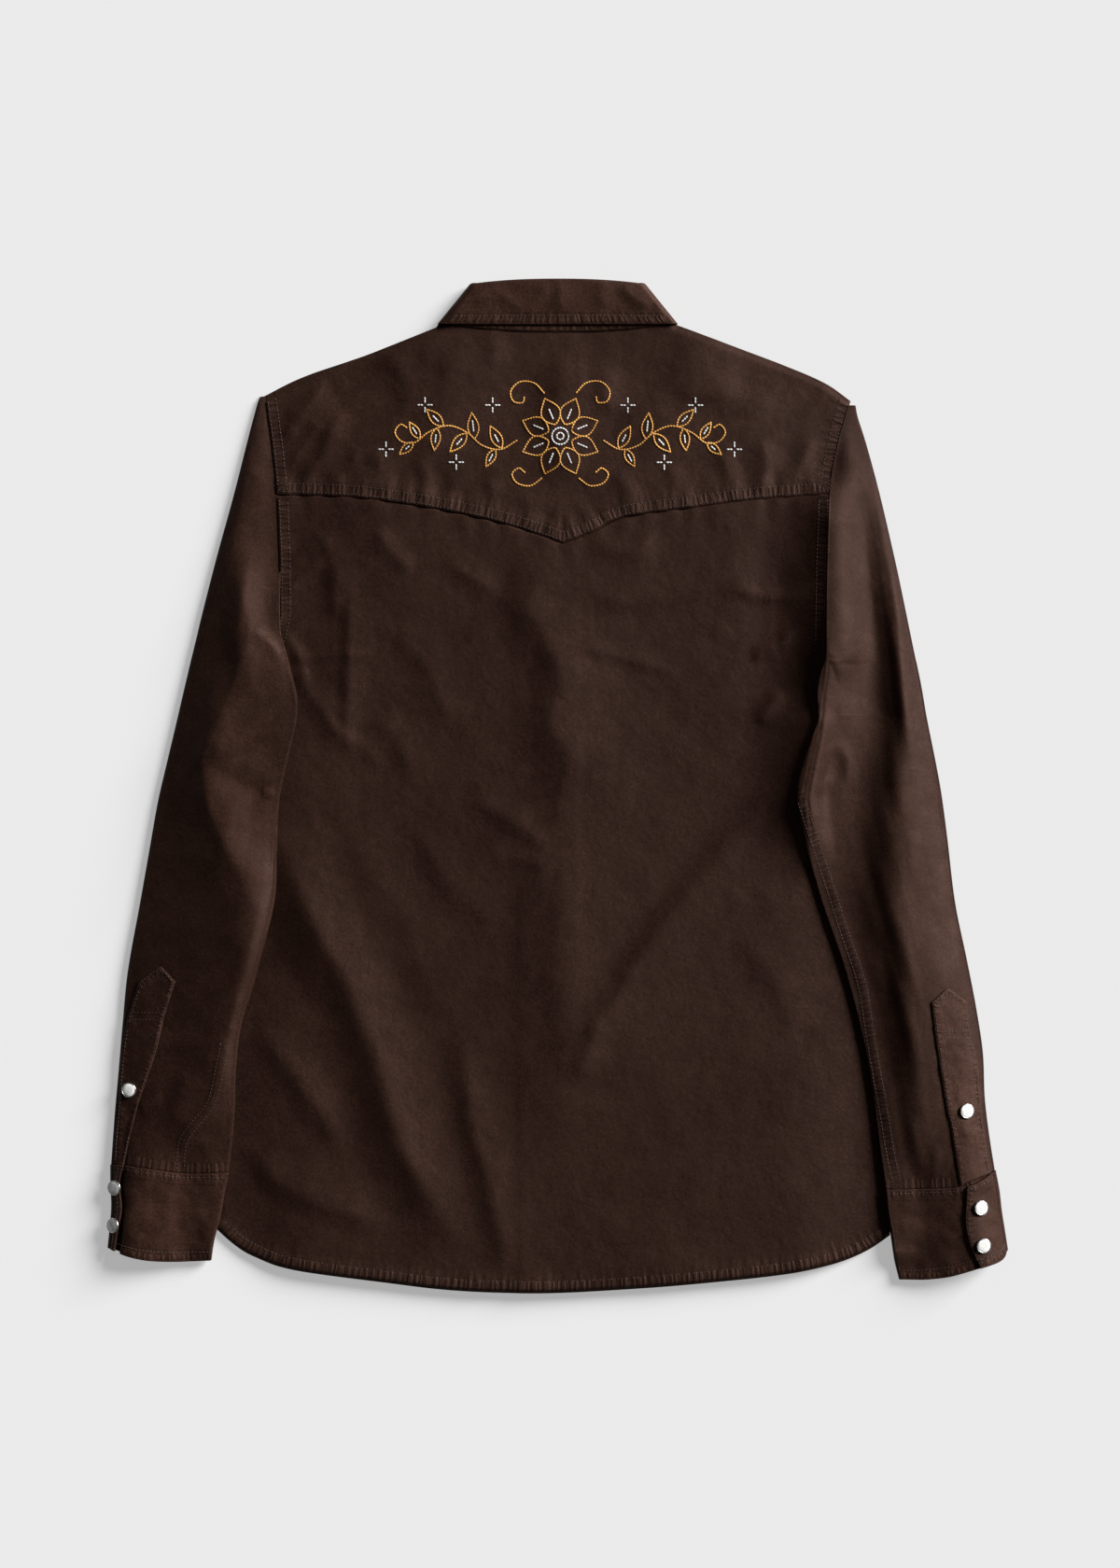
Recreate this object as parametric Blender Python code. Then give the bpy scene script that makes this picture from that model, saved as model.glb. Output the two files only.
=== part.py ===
# Western snap shirt laid flat, front down and back up.
# The frame: +X to the wearer's right, +Y towards the collar, +Z up, and the shirt lies on z = 0.
# Sizes are in millimetres and become metres where a mesh is made.

import math
from collections import namedtuple

import bmesh
import bpy
from mathutils import Vector

for old in list(bpy.data.objects):
    bpy.data.objects.remove(old)

MM = 0.001

# ---- driving sizes -------------------------------------------------------------------------

WALL = 1.2               # shirt cloth
CUFF_WALL = 1.8          # two layers and an interlining
COLLAR_WALL = 1.5
SEAM_GAP = 0.3           # between two pieces at a seam
CUFF_SEAM_GAP = 0.7      # the same between a sleeve and its cuff, whose edges bend
LAY_GAP = 0.3            # between a piece and the one it lies on
SNAP_GAP = 0.6           # the same under a snap on a curved place
SLEEVE_GAP = 0.6         # between a sleeve and the back that it lies across
PLACKET_GAP = 0.5        # between a sleeve and the strip on it
PANEL_GAP = 1.0          # air between the fronts and the back, and inside a flat sleeve
SEPARATION = WALL + PANEL_GAP

SNAP_RADIUS = 5.75
SNAP_DEPTH = 1.6
SNAP_SIDES = 12
SNAP_BEVEL = 0.45

LIFT_RAMP = 13.0         # how far cloth takes to come down beside what lies under it
FRONT_SPREAD = 36.0      # how far past the edge of what lifts it a front stays up
BACK_SPREAD = 46.0       # the same for the back, which bridges more
SLEEVE_RAMP = 30.0       # the same where a sleeve comes down from the body to the floor
BAND_LEFT = -27.0
BAND_RIGHT = 9.0
BAND_TOP_LEFT = 268.0
BAND_TOP_RIGHT = 264.0
UNDERLAP_LEFT = -23.0
POCKET_CORNER = 16.0     # how far a pocket's lower corners are cut off
FLAP_NOTCH = 9.0         # how high a flap's foot rises between its two points
COLLAR_CENTRE = 0.7

SNAP_LIFT = SNAP_DEPTH + LAY_GAP + WALL + LAY_GAP    # over a piece that carries snaps
POCKET_LIFT = WALL + LAY_GAP
UNDERLAP_LIFT = WALL + LAY_GAP
ON_SNAPS_Z = SNAP_DEPTH + LAY_GAP + WALL / 2         # the middle of a piece that carries snaps

# ---- tables --------------------------------------------------------------------------------

Side = namedtuple("Side", "place left_x left_y right_x right_y")
BODY_SIDES = [
    Side("hem corner", -262.4, -342.0, 256.7, -347.0),
    Side("hip", -262.4, -258.5, 255.2, -258.5),
    Side("waist", -263.2, -150.5, 254.5, -150.5),
    Side("ribs", -264.6, -42.5, 254.5, -42.5),
    Side("underarm", -265.3, 47.5, 254.5, 47.5),
    Side("low armhole", -240.8, 67.0, 236.5, 56.0),
    Side("armhole curve", -222.8, 92.9, 216.5, 74.0),
    Side("sleeve corner", -214.2, 130.3, 207.0, 101.5),
    Side("mid armhole", -214.2, 173.5, 208.4, 173.5),
    Side("yoke seam", -216.4, 223.9, 210.6, 223.9),
    Side("upper armhole", -220.3, 262.0, 217.3, 262.0),
    Side("shoulder point", -225.7, 299.5, 226.4, 295.9),
]
UNDERARM_ROW = 4
CORNER_ROW = 7
YOKE_ROW = 9

Place = namedtuple("Place", "x y")
YOKE_SEAM_LEFT = [Place(-216.4, 223.9), Place(-163.8, 221.8), Place(-124.2, 217.4),
                  Place(-75.2, 208.8), Place(-36.4, 199.4), Place(4.7, 185.8)]
YOKE_SEAM_RIGHT = [Place(4.7, 185.8), Place(28.4, 195.1), Place(52.2, 206.0),
                   Place(108.4, 213.8), Place(151.6, 219.6), Place(210.6, 223.9)]
SHOULDER_LEFT = [Place(-225.7, 299.5), Place(-194.8, 314.6), Place(-143.6, 332.2),
                 Place(-91.1, 352.8)]
SHOULDER_RIGHT = [Place(92.5, 354.0), Place(128.5, 340.6), Place(175.3, 323.3),
                  Place(207.0, 309.5), Place(226.4, 295.9)]
BACK_NECK = [Place(-91.1, 352.8), Place(-45.0, 348.6), Place(0.7, 347.6), Place(46.0, 349.0),
             Place(92.5, 354.0)]
FRONT_NECK_LEFT = [Place(-91.1, 352.8), Place(-84.0, 318.0), Place(-60.0, 284.0),
                   Place(-27.0, 268.0), Place(9.0, 264.0)]
FRONT_NECK_RIGHT = [Place(-23.0, 267.0), Place(9.0, 264.0), Place(58.0, 284.0),
                    Place(84.0, 318.0), Place(92.5, 354.0)]
HEM = [Place(-262.4, -342.0), Place(-247.3, -355.0), Place(-232.2, -363.6), Place(-203.4, -373.0),
       Place(-136.4, -382.3), Place(-78.1, -389.0), Place(-10.0, -391.0), Place(60.1, -387.6),
       Place(118.4, -382.8), Place(168.1, -377.5), Place(195.5, -373.0), Place(220.7, -366.5),
       Place(240.1, -358.0), Place(256.7, -347.0)]
FRONT_HEM_RISE = 7.0     # the front hem is that much shorter, so it stays under the back

# what the fronts lie on, as rectangles with the height by which each lifts them
Patch = namedtuple("Patch", "name left right bottom top height")
BODY_FOOT = -400.0
NECK_Y = 285.0
POCKET_LEFT = Patch("pocket_left", -163.0, -57.0, 18.0, 105.0, POCKET_LIFT)
POCKET_RIGHT = Patch("pocket_right", 49.0, 155.0, 18.0, 105.0, POCKET_LIFT)
FLAP_LEFT = Patch("pocket_flap_left", -165.0, -55.0, 105.0, 153.0, SNAP_LIFT)
FLAP_RIGHT = Patch("pocket_flap_right", 47.0, 157.0, 105.0, 153.0, SNAP_LIFT)
BAND = Patch("front_placket", BAND_LEFT, BAND_RIGHT, BODY_FOOT, NECK_Y, SNAP_LIFT)
LEAVES = Patch("collar leaves", -95.0, 96.0, 214.0, 360.0, SNAP_LIFT)
UNDER_FRONTS = [POCKET_LEFT, POCKET_RIGHT, FLAP_LEFT, FLAP_RIGHT, BAND, LEAVES]
UNDERLAP = Patch("front underlap", UNDERLAP_LEFT, BAND_RIGHT, BODY_FOOT, NECK_Y, UNDERLAP_LIFT)

# bow is how far a crest's middle stands to the left of the line from its start to its end
Fold = namedtuple("Fold", "name x0 y0 x1 y1 bow half_width height")
BACK_FOLDS = [
    Fold("centre crest", -28.0, 200.0, 8.0, 20.0, 3.0, 24.0, 4.0),
    Fold("centre crest tail", 10.0, 40.0, 2.0, -66.0, 0.0, 20.0, 3.0),
    Fold("long lower left", -210.0, -60.0, -78.0, -328.0, 2.0, 32.0, 5.0),
    Fold("left of the long one", -246.0, -215.0, -150.0, -345.0, 4.0, 24.0, 3.2),
    Fold("lower middle", -70.0, -225.0, -36.0, -362.0, -4.0, 24.0, 3.2),
    Fold("right diagonal", 182.0, -6.0, 18.0, -238.0, -8.0, 34.0, 4.0),
    Fold("under the point", 2.0, 178.0, 124.0, 182.0, 5.0, 12.0, 1.6),
    Fold("right blade", 62.0, 152.0, 160.0, 146.0, 6.0, 13.0, 1.8),
    Fold("right ribs", 88.0, 106.0, 140.0, 96.0, 3.0, 11.0, 1.5),
    Fold("left armhole drag", -206.0, 176.0, -168.0, 104.0, 3.0, 13.0, 2.2),
    Fold("waist nick", -74.0, -8.0, -6.0, -56.0, 4.0, 12.0, 2.0),
    Fold("right armhole drag", 196.0, 196.0, 150.0, 120.0, -4.0, 15.0, 2.2),
    Fold("right hip", 200.0, -120.0, 226.0, -330.0, 0.0, 30.0, 2.4),
]
YOKE_FOLDS = [
    Fold("left neck drag", -86.0, 338.0, -150.0, 252.0, 8.0, 20.0, 2.4),
    Fold("middle", 12.0, 330.0, 2.0, 210.0, -3.0, 26.0, 2.0),
    Fold("right neck drag", 90.0, 334.0, 168.0, 250.0, -8.0, 20.0, 2.2),
    Fold("left shoulder", -180.0, 300.0, -120.0, 240.0, 2.0, 14.0, 1.8),
]

# One row for each section of a sleeve, from the cuff seam to the shoulder point.
# crown is how high the upper layer arches there, and crown_at where, from outer 0 to inner 1.
# Up to "underarm" a section is a closed tube, and up to "last fold" it still folds over the body.
Section = namedtuple("Section", "place outer_x outer_y inner_x inner_y crown crown_at")
SLEEVE_LEFT = [
    Section("cuff seam", -343.1, -293.8, -253.1, -299.5, 2.0, 0.50),
    Section("wrist", -340.3, -255.0, -248.6, -258.0, 4.5, 0.50),
    Section("placket snap", -337.3, -221.0, -247.0, -218.0, 7.0, 0.55),
    Section("placket", -334.2, -185.0, -242.6, -184.0, 8.5, 0.60),
    Section("placket point", -330.1, -143.3, -231.6, -148.0, 10.0, 0.65),
    Section("forearm", -320.8, -91.4, -217.2, -90.0, 11.0, 0.60),
    Section("upper forearm", -313.5, -50.0, -215.4, -50.0, 12.0, 0.50),
    Section("below elbow", -307.1, -13.7, -213.9, -14.0, 13.0, 0.38),
    Section("elbow", -299.8, 18.0, -208.0, 16.0, 14.0, 0.28),
    Section("underarm", -292.8, 47.5, -200.8, 47.5, 13.0, 0.32),
    Section("above elbow", -288.3, 67.0, -200.0, 67.0, 12.5, 0.38),
    Section("armhole curve", -282.2, 92.9, -206.0, 92.9, 12.0, 0.42),
    Section("last fold", -277.3, 113.0, -211.4, 113.0, 12.0, 0.45),
    Section("sleeve corner", -273.2, 130.3, -214.8, 130.3, 11.5, 0.45),
    Section("mid armhole", -262.2, 173.5, -214.8, 173.5, 10.5, 0.45),
    Section("yoke seam", -248.4, 223.9, -217.0, 223.9, 9.0, 0.42),
    Section("upper armhole", -238.8, 262.0, -220.9, 262.0, 6.0, 0.40),
    Section("head", -232.0, 288.0, -224.9, 288.0, 2.0, 0.40),
    Section("shoulder point", -229.6, 296.5, -225.9, 296.5, 0.5, 0.40),
]
SLEEVE_RIGHT = [
    Section("cuff seam", 337.3, -298.1, 253.1, -312.5, 2.0, 0.50),
    Section("wrist", 332.6, -268.0, 247.6, -272.0, 4.5, 0.50),
    Section("placket snap", 329.4, -240.0, 243.7, -240.0, 6.5, 0.55),
    Section("placket", 328.0, -206.6, 238.2, -207.0, 8.0, 0.55),
    Section("placket point", 322.9, -172.1, 230.0, -172.0, 9.5, 0.50),
    Section("forearm", 315.5, -134.0, 219.6, -135.0, 11.0, 0.45),
    Section("upper forearm", 306.5, -90.0, 204.0, -90.0, 12.0, 0.40),
    Section("below elbow", 300.5, -40.0, 189.6, -39.0, 13.0, 0.50),
    Section("elbow", 294.8, 0.7, 184.2, -2.0, 14.0, 0.55),
    Section("underarm", 285.6, 47.5, 199.4, 47.5, 13.0, 0.55),
    Section("low armhole", 284.0, 56.0, 200.2, 56.0, 12.5, 0.55),
    Section("armhole curve", 281.0, 74.0, 199.4, 74.0, 12.5, 0.55),
    Section("last fold", 277.6, 91.0, 203.8, 91.0, 12.0, 0.55),
    Section("sleeve corner", 275.2, 101.5, 207.6, 101.5, 11.5, 0.55),
    Section("upper arm", 267.8, 138.0, 208.3, 138.0, 11.0, 0.55),
    Section("mid armhole", 260.3, 173.5, 209.0, 173.5, 10.5, 0.55),
    Section("yoke seam", 248.6, 223.9, 211.2, 223.9, 9.0, 0.50),
    Section("upper armhole", 238.4, 262.0, 217.9, 262.0, 6.0, 0.45),
    Section("head", 231.8, 283.0, 223.7, 283.0, 2.5, 0.40),
    Section("shoulder point", 229.9, 292.5, 226.2, 292.5, 0.5, 0.40),
]
UNDERARM_SECTION = 9
LAST_FOLD_SECTION = 12
SLEEVE_LEFT_FOLDS = [
    Fold("elbow crease", -286.0, 26.0, -212.0, -12.0, 4.0, 14.0, 3.0),
    Fold("inner pinch", -226.0, 128.0, -204.0, 66.0, 3.0, 10.0, 3.0),
    Fold("forearm ridge", -262.0, -46.0, -232.0, -140.0, -4.0, 20.0, 2.5),
]
SLEEVE_RIGHT_FOLDS = [
    Fold("inner ridge", 222.0, 180.0, 214.0, 20.0, -6.0, 16.0, 3.0),
    Fold("outer ridge", 268.0, 90.0, 286.0, -60.0, -4.0, 16.0, 3.0),
    Fold("inner pinch", 190.0, 16.0, 230.0, 24.0, -6.0, 11.0, 3.0),
    Fold("forearm ridge", 262.0, -70.0, 290.0, -220.0, 2.0, 18.0, 2.5),
]

CUFF_SEAM_LEFT = [Place(-343.1, -293.8), Place(-333.0, -293.6), Place(-310.0, -296.8),
                  Place(-289.8, -299.8), Place(-270.0, -300.0), Place(-253.1, -299.5)]
CUFF_SEAM_RIGHT = [Place(337.3, -298.1), Place(326.0, -305.0), Place(312.1, -310.0),
                   Place(282.0, -312.0), Place(253.1, -312.5)]
CuffRow = namedtuple("CuffRow", "place outer_x outer_y inner_x inner_y lap_x")
CUFF_LEFT = [
    CuffRow("seam", -343.1, -293.8, -253.1, -299.5, -333.0),
    CuffRow("upper", -343.0, -308.0, -256.4, -315.0, -335.6),
    CuffRow("middle", -342.4, -325.0, -259.4, -332.0, -334.2),
    CuffRow("lower", -343.6, -341.0, -264.0, -349.0, -337.2),
    CuffRow("edge", -345.2, -356.4, -266.8, -365.8, -339.6),
]
CUFF_LEFT_EDGE = [Place(-345.2, -356.4), Place(-330.1, -362.2), Place(-312.1, -365.8),
                  Place(-289.8, -366.8), Place(-266.8, -365.8)]
CUFF_RIGHT = [
    CuffRow("seam", 337.3, -298.1, 253.1, -312.5, 312.1),
    CuffRow("upper", 340.2, -313.0, 254.6, -328.0, 312.6),
    CuffRow("middle", 342.0, -328.0, 257.6, -346.0, 312.3),
    CuffRow("lower", 344.4, -343.0, 260.4, -364.0, 315.6),
    CuffRow("edge", 346.7, -357.8, 264.6, -380.8, 322.0),
]
CUFF_RIGHT_EDGE = [Place(346.7, -357.8), Place(340.9, -365.8), Place(321.5, -372.2),
                   Place(301.3, -378.2), Place(283.0, -380.6), Place(264.6, -380.8)]

PlacketRow = namedtuple("PlacketRow", "place outer_x inner_x y")
PLACKET_LEFT = [
    PlacketRow("cuff seam", -339.4, -332.6, -292.6),
    PlacketRow("lower", -338.4, -327.2, -267.8),
    PlacketRow("snap", -336.4, -320.4, -242.0),
    PlacketRow("upper", -334.6, -308.0, -206.0),
    PlacketRow("box bottom", -330.0, -301.5, -178.5),
    PlacketRow("box top", -320.6, -292.6, -151.0),
    PlacketRow("point", -307.6, -301.0, -140.4),
]
PLACKET_RIGHT = [
    PlacketRow("cuff seam", 333.6, 309.8, -299.0),
    PlacketRow("lower", 329.2, 304.6, -273.0),
    PlacketRow("snap", 326.2, 299.0, -248.0),
    PlacketRow("upper", 323.0, 292.9, -212.0),
    PlacketRow("box bottom", 318.2, 290.0, -192.6),
    PlacketRow("box top", 315.0, 287.2, -167.0),
    PlacketRow("point", 303.2, 297.4, -157.0),
]

# crown and crown_at are as in the sleeves' sections, and under_inset is where the under end stops
CuffForm = namedtuple("CuffForm", "name side rows seam edge crown crown_at under_inset")
CUFFS = [
    CuffForm("cuff_left", -1, CUFF_LEFT, CUFF_SEAM_LEFT, CUFF_LEFT_EDGE, 9.0, 0.13, 10.5),
    CuffForm("cuff_right", 1, CUFF_RIGHT, CUFF_SEAM_RIGHT, CUFF_RIGHT_EDGE, 4.0, 0.35, 9.0),
]

# A level of the collar is a loop round the neck, laid flat: half of it behind, above, and half
# in front, below. Its front runs from the side fold to the front end, given for the right side.
Level = namedtuple("Level", "name half_width side_y back_y back_z front_z")
STAND_FOOT = Level("stand foot", 89.0, 355.2, 348.4, 6.6, 4.2)
STAND_TOP = Level("stand top", 65.0, 383.5, 386.6, 7.4, 4.2)
FALL_SEAM = Level("fall seam", 64.2, 384.2, 387.4, 7.4, 4.2)
FALL_TOP = Level("fall top", 67.5, 384.6, 387.8, 10.2, COLLAR_WALL / 2)
FALL_EDGE = Level("fall edge", 92.0, 355.8, 354.2, 9.6, COLLAR_WALL / 2)
STAND_FOOT_FRONT = [Place(82.0, 319.0), Place(56.6, 286.4), Place(30.0, 272.8)]
STAND_TOP_FRONT = [Place(58.0, 346.0), Place(42.0, 316.0), Place(22.0, 303.0)]
FALL_SEAM_FRONT = [Place(56.6, 346.6), Place(40.4, 317.6), Place(21.4, 305.0)]
FALL_EDGE_FRONT = [Place(91.0, 318.0), Place(80.0, 262.0), Place(63.0, 217.0)]
LAP_START = 34.0                   # where the stand's right end starts to rise on to its left one
LAP_RUN = 18.0
# where the left and the right front end: the stand's ends lap, the fall's stay apart
STAND_FOOT_ENDS = (Place(9.0, 266.4), Place(-23.0, 269.4))
STAND_TOP_ENDS = (Place(9.0, 298.0), Place(-23.0, 298.4))
FALL_SEAM_ENDS = (Place(-5.0, 302.2), Place(6.4, 302.8))

Snap = namedtuple("Snap", "name x y")
SNAP_PITCH = 94.0
FRONT_SNAPS = [Snap("front_snap_%d" % (i + 1), -9.0, 226.0 - SNAP_PITCH * i) for i in range(6)]
COLLAR_SNAP = Snap("collar_snap", -7.0, 281.5)
POCKET_SNAPS = [Snap("pocket_snap_left_outer", -137.0, 118.0),
                Snap("pocket_snap_left_inner", -83.0, 118.0),
                Snap("pocket_snap_right_inner", 75.0, 118.0),
                Snap("pocket_snap_right_outer", 129.0, 118.0)]
PLACKET_SNAPS = [Snap("placket_snap_left", -328.4, -234.7),
                 Snap("placket_snap_right", 314.3, -250.6)]
CUFF_SNAPS = [Snap("cuff_snap_left_upper", -339.4, -309.8),
              Snap("cuff_snap_left_lower", -340.2, -338.8),
              Snap("cuff_snap_right_upper", 325.1, -324.7),
              Snap("cuff_snap_right_lower", 327.2, -353.5)]

# ---- numbers and curves --------------------------------------------------------------------


def smooth(t):
    """0 below 0, 1 above 1, an S curve between."""
    t = min(max(t, 0.0), 1.0)
    return t * t * (3.0 - 2.0 * t)


def mix(a, b, t):
    return a + (b - a) * t


def spline(points):
    """A smooth curve through the points, as a function of 0..1 along its length."""
    pts = [Vector((p[0], p[1])) for p in points]
    padded = [pts[0] * 2 - pts[1]] + pts + [pts[-1] * 2 - pts[-2]]
    lengths = [0.0]
    for a, b in zip(pts, pts[1:]):
        lengths.append(lengths[-1] + (b - a).length)

    def at(t):
        target = min(max(t, 0.0), 1.0) * lengths[-1]
        k = 0
        while k < len(pts) - 2 and lengths[k + 1] < target:
            k += 1
        s = (target - lengths[k]) / (lengths[k + 1] - lengths[k])
        p0, p1, p2, p3 = padded[k:k + 4]
        return 0.5 * (2 * p1 + (p2 - p0) * s + (2 * p0 - 5 * p1 + 4 * p2 - p3) * s * s
                      + (3 * p1 - p0 - 3 * p2 + p3) * s ** 3)
    return at


def joined(*stretches):
    """Curves in a row: each stretch is (end of its share of 0..1, curve)."""
    def at(t):
        start = 0.0
        for end, curve in stretches:
            if t <= end or end == stretches[-1][0]:
                return curve((t - start) / (end - start))
            start = end
    return at


def table_curve(rows, x_name, y_name):
    """A smooth curve through a table's rows, one equal share of 0..1 for each row."""
    pts = [Vector((getattr(r, x_name), getattr(r, y_name))) for r in rows]
    padded = [pts[0] * 2 - pts[1]] + pts + [pts[-1] * 2 - pts[-2]]

    def at(t):
        k = min(int(t * (len(pts) - 1)), len(pts) - 2)
        s = t * (len(pts) - 1) - k
        p0, p1, p2, p3 = padded[k:k + 4]
        return 0.5 * (2 * p1 + (p2 - p0) * s + (2 * p0 - 5 * p1 + 4 * p2 - p3) * s * s
                      + (3 * p1 - p0 - 3 * p2 + p3) * s ** 3)
    return at


def table_line(rows, x_name, y_name):
    """Straight from row to row of a table, one equal share of 0..1 for each."""
    return lambda t: Vector((table_value(rows, x_name, t), table_value(rows, y_name, t)))


def table_value(rows, name, t):
    k = min(int(t * (len(rows) - 1)), len(rows) - 2)
    s = t * (len(rows) - 1) - k
    return mix(getattr(rows[k], name), getattr(rows[k + 1], name), s)


def blended(left, right, bottom, top, reach=3.0):
    """A panel between four curves: u runs left to right and v bottom to top."""
    def at(u, v):
        line = left(v).lerp(right(v), u)
        low = bottom(u) - left(0.0).lerp(right(0.0), u)
        high = top(u) - left(1.0).lerp(right(1.0), u)
        return line + low * (1.0 - v) ** reach + high * v ** reach
    return at


def shares(count, *knots):
    """Evenly spread values 0..1 that also hit the knots."""
    ends = [0.0] + sorted(knots) + [1.0]
    values = [0.0]
    for a, b in zip(ends, ends[1:]):
        steps = max(1, round(count * (b - a)))
        values += [mix(a, b, (i + 1) / steps) for i in range(steps)]
    return values


def table_shares(rows):
    """Where a table's inner rows are on a curve through them."""
    return [k / (len(rows) - 1) for k in range(1, len(rows) - 1)]


# ---- how high the layers lie ---------------------------------------------------------------


def over_patch(patch, x, y, spread=0.0):
    """1 over the patch and its spread, falling to 0 a ramp's width outside."""
    across = min(x - patch.left, patch.right - x) + spread
    along = min(y - patch.bottom, patch.top - y) + spread
    return smooth(1.0 + across / LIFT_RAMP) * smooth(1.0 + along / LIFT_RAMP)


def lift(patches, x, y, spread):
    return max(p.height * over_patch(p, x, y, spread) for p in patches)


def fold_height(folds, x, y):
    """The height that the folds add, each a soft crest that dies away at both ends."""
    total = 0.0
    for f in folds:
        run = Vector((f.x1 - f.x0, f.y1 - f.y0))
        rel = Vector((x - f.x0, y - f.y0))
        along = rel.dot(run) / run.length_squared
        if not 0.0 < along < 1.0:
            continue
        aside = (run.x * rel.y - run.y * rel.x) / run.length - f.bow * 4 * along * (1 - along)
        if abs(aside) < f.half_width:
            ends = smooth(min(along, 1.0 - along) / 0.3)
            total += f.height * ends * smooth(1.0 - abs(aside) / f.half_width)
    return total


def side_x(y, side):
    """Where the body's side edge is at that height of the shirt."""
    rows = [(r.left_y, r.left_x) if side < 0 else (r.right_y, r.right_x) for r in BODY_SIDES]
    if y <= rows[0][0]:
        return rows[0][1]
    for (y0, x0), (y1, x1) in zip(rows, rows[1:]):
        if y <= y1:
            return mix(x0, x1, (y - y0) / (y1 - y0))
    return rows[-1][1]


def front_left_z(x, y, spread=FRONT_SPREAD):
    return WALL / 2 + lift(UNDER_FRONTS, x, y, spread)


def front_right_z(x, y, spread=FRONT_SPREAD):
    return front_left_z(x, y, spread) + UNDERLAP_LIFT * over_patch(UNDERLAP, x, y, spread)


def back_z(x, y):
    level = front_right_z(x, y, BACK_SPREAD) + SEPARATION
    return level + fold_height(BACK_FOLDS, x, y)


def yoke_z(x, y):
    level = front_right_z(x, y, BACK_SPREAD) + SEPARATION
    return level + fold_height(YOKE_FOLDS, x, y)


NEARBY = [(0.0, 0.0), (-9.0, 0.0), (9.0, 0.0), (0.0, -12.0), (0.0, 12.0)]


def over_body(x, y, side, wall=WALL):
    """The middle of a sleeve's lower layer where it lies on the body and beside it."""
    edge = side_x(y, side)
    outside = (x - edge) * side
    inside_x = edge if outside > 0 else x
    below = max(back_z(inside_x + dx, y + dy) for dx, dy in NEARBY)
    on_body = below + WALL / 2 + SLEEVE_GAP + wall / 2
    return mix(on_body, wall / 2, smooth(outside / SLEEVE_RAMP))


# ---- meshes --------------------------------------------------------------------------------


def material(name, colour, roughness, metallic=0.0):
    made = bpy.data.materials.new(name)
    made.use_nodes = True
    shader = made.node_tree.nodes["Principled BSDF"]
    shader.inputs["Base Color"].default_value = (*colour, 1.0)
    shader.inputs["Roughness"].default_value = roughness
    shader.inputs["Metallic"].default_value = metallic
    return made


def thickened(name, bm, finish, wall):
    """The object of a sheet's middle surface, with a wall to both sides of it."""
    bmesh.ops.recalc_face_normals(bm, faces=bm.faces)
    mesh = bpy.data.meshes.new(name)
    bm.to_mesh(mesh)
    bm.free()
    mesh.shade_smooth()
    mesh.materials.append(finish)
    made = bpy.data.objects.new(name, mesh)
    bpy.context.scene.collection.objects.link(made)
    thick = made.modifiers.new("wall", "SOLIDIFY")
    thick.thickness = wall * MM
    thick.offset = 0.0
    return made


def sheet_object(name, rows, finish, wall=WALL):
    """A wall of cloth from rows of points on its middle surface."""
    bm = bmesh.new()
    grid = [[bm.verts.new(Vector(p) * MM) for p in row] for row in rows]
    for low, high in zip(grid, grid[1:]):
        for k in range(len(low) - 1):
            bm.faces.new((low[k], low[k + 1], high[k + 1], high[k]))
    return thickened(name, bm, finish, wall)


def panel_rows(plan, us, vs, z):
    rows = []
    for v in vs:
        row = []
        for u in us:
            p = plan(u, v)
            row.append((p.x, p.y, z(p.x, p.y)))
        rows.append(row)
    return rows


def shifted(curve, x=0.0, y=0.0):
    return lambda t: curve(t) + Vector((x, y))


# ---- body ----------------------------------------------------------------------------------

SEAM_WIDTH = 427.0
POINT_SHARE = (4.7 + 216.4) / SEAM_WIDTH
NECK_SHARES = (0.30, 0.735)        # where the neck starts and ends across the yoke
SHOULDER_SHARE = 0.58              # how much of a front's top edge is its shoulder
BODY_COLUMNS = shares(22, POINT_SHARE, *NECK_SHARES)


def yoke_seam():
    return joined((POINT_SHARE, spline(YOKE_SEAM_LEFT)), (1.0, spline(YOKE_SEAM_RIGHT)))


def make_back(finish):
    rows = BODY_SIDES[:YOKE_ROW + 1]
    plan = blended(table_line(rows, "left_x", "left_y"), table_line(rows, "right_x", "right_y"),
                   spline(HEM), shifted(yoke_seam(), y=-SEAM_GAP))
    height_rows = shares(25, *table_shares(rows))
    return sheet_object("back", panel_rows(plan, BODY_COLUMNS, height_rows, back_z), finish)


def make_yoke(finish):
    rows = BODY_SIDES[YOKE_ROW:]
    top = joined((NECK_SHARES[0], spline(SHOULDER_LEFT)), (NECK_SHARES[1], spline(BACK_NECK)),
                 (1.0, spline(SHOULDER_RIGHT)))
    plan = blended(table_line(rows, "left_x", "left_y"), table_line(rows, "right_x", "right_y"),
                   yoke_seam(), top, reach=1.0)
    height_rows = shares(10, *table_shares(rows))
    return sheet_object("back_yoke", panel_rows(plan, BODY_COLUMNS, height_rows, yoke_z), finish)


def front_hem(start_x, end_x):
    """The part of the front hem between two places across."""
    hem = spline([Place(p.x, p.y + FRONT_HEM_RISE) for p in HEM])
    width = HEM[-1].x - HEM[0].x

    def at(t):
        return hem((mix(start_x, end_x, t) - HEM[0].x) / width)
    return at


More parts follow.
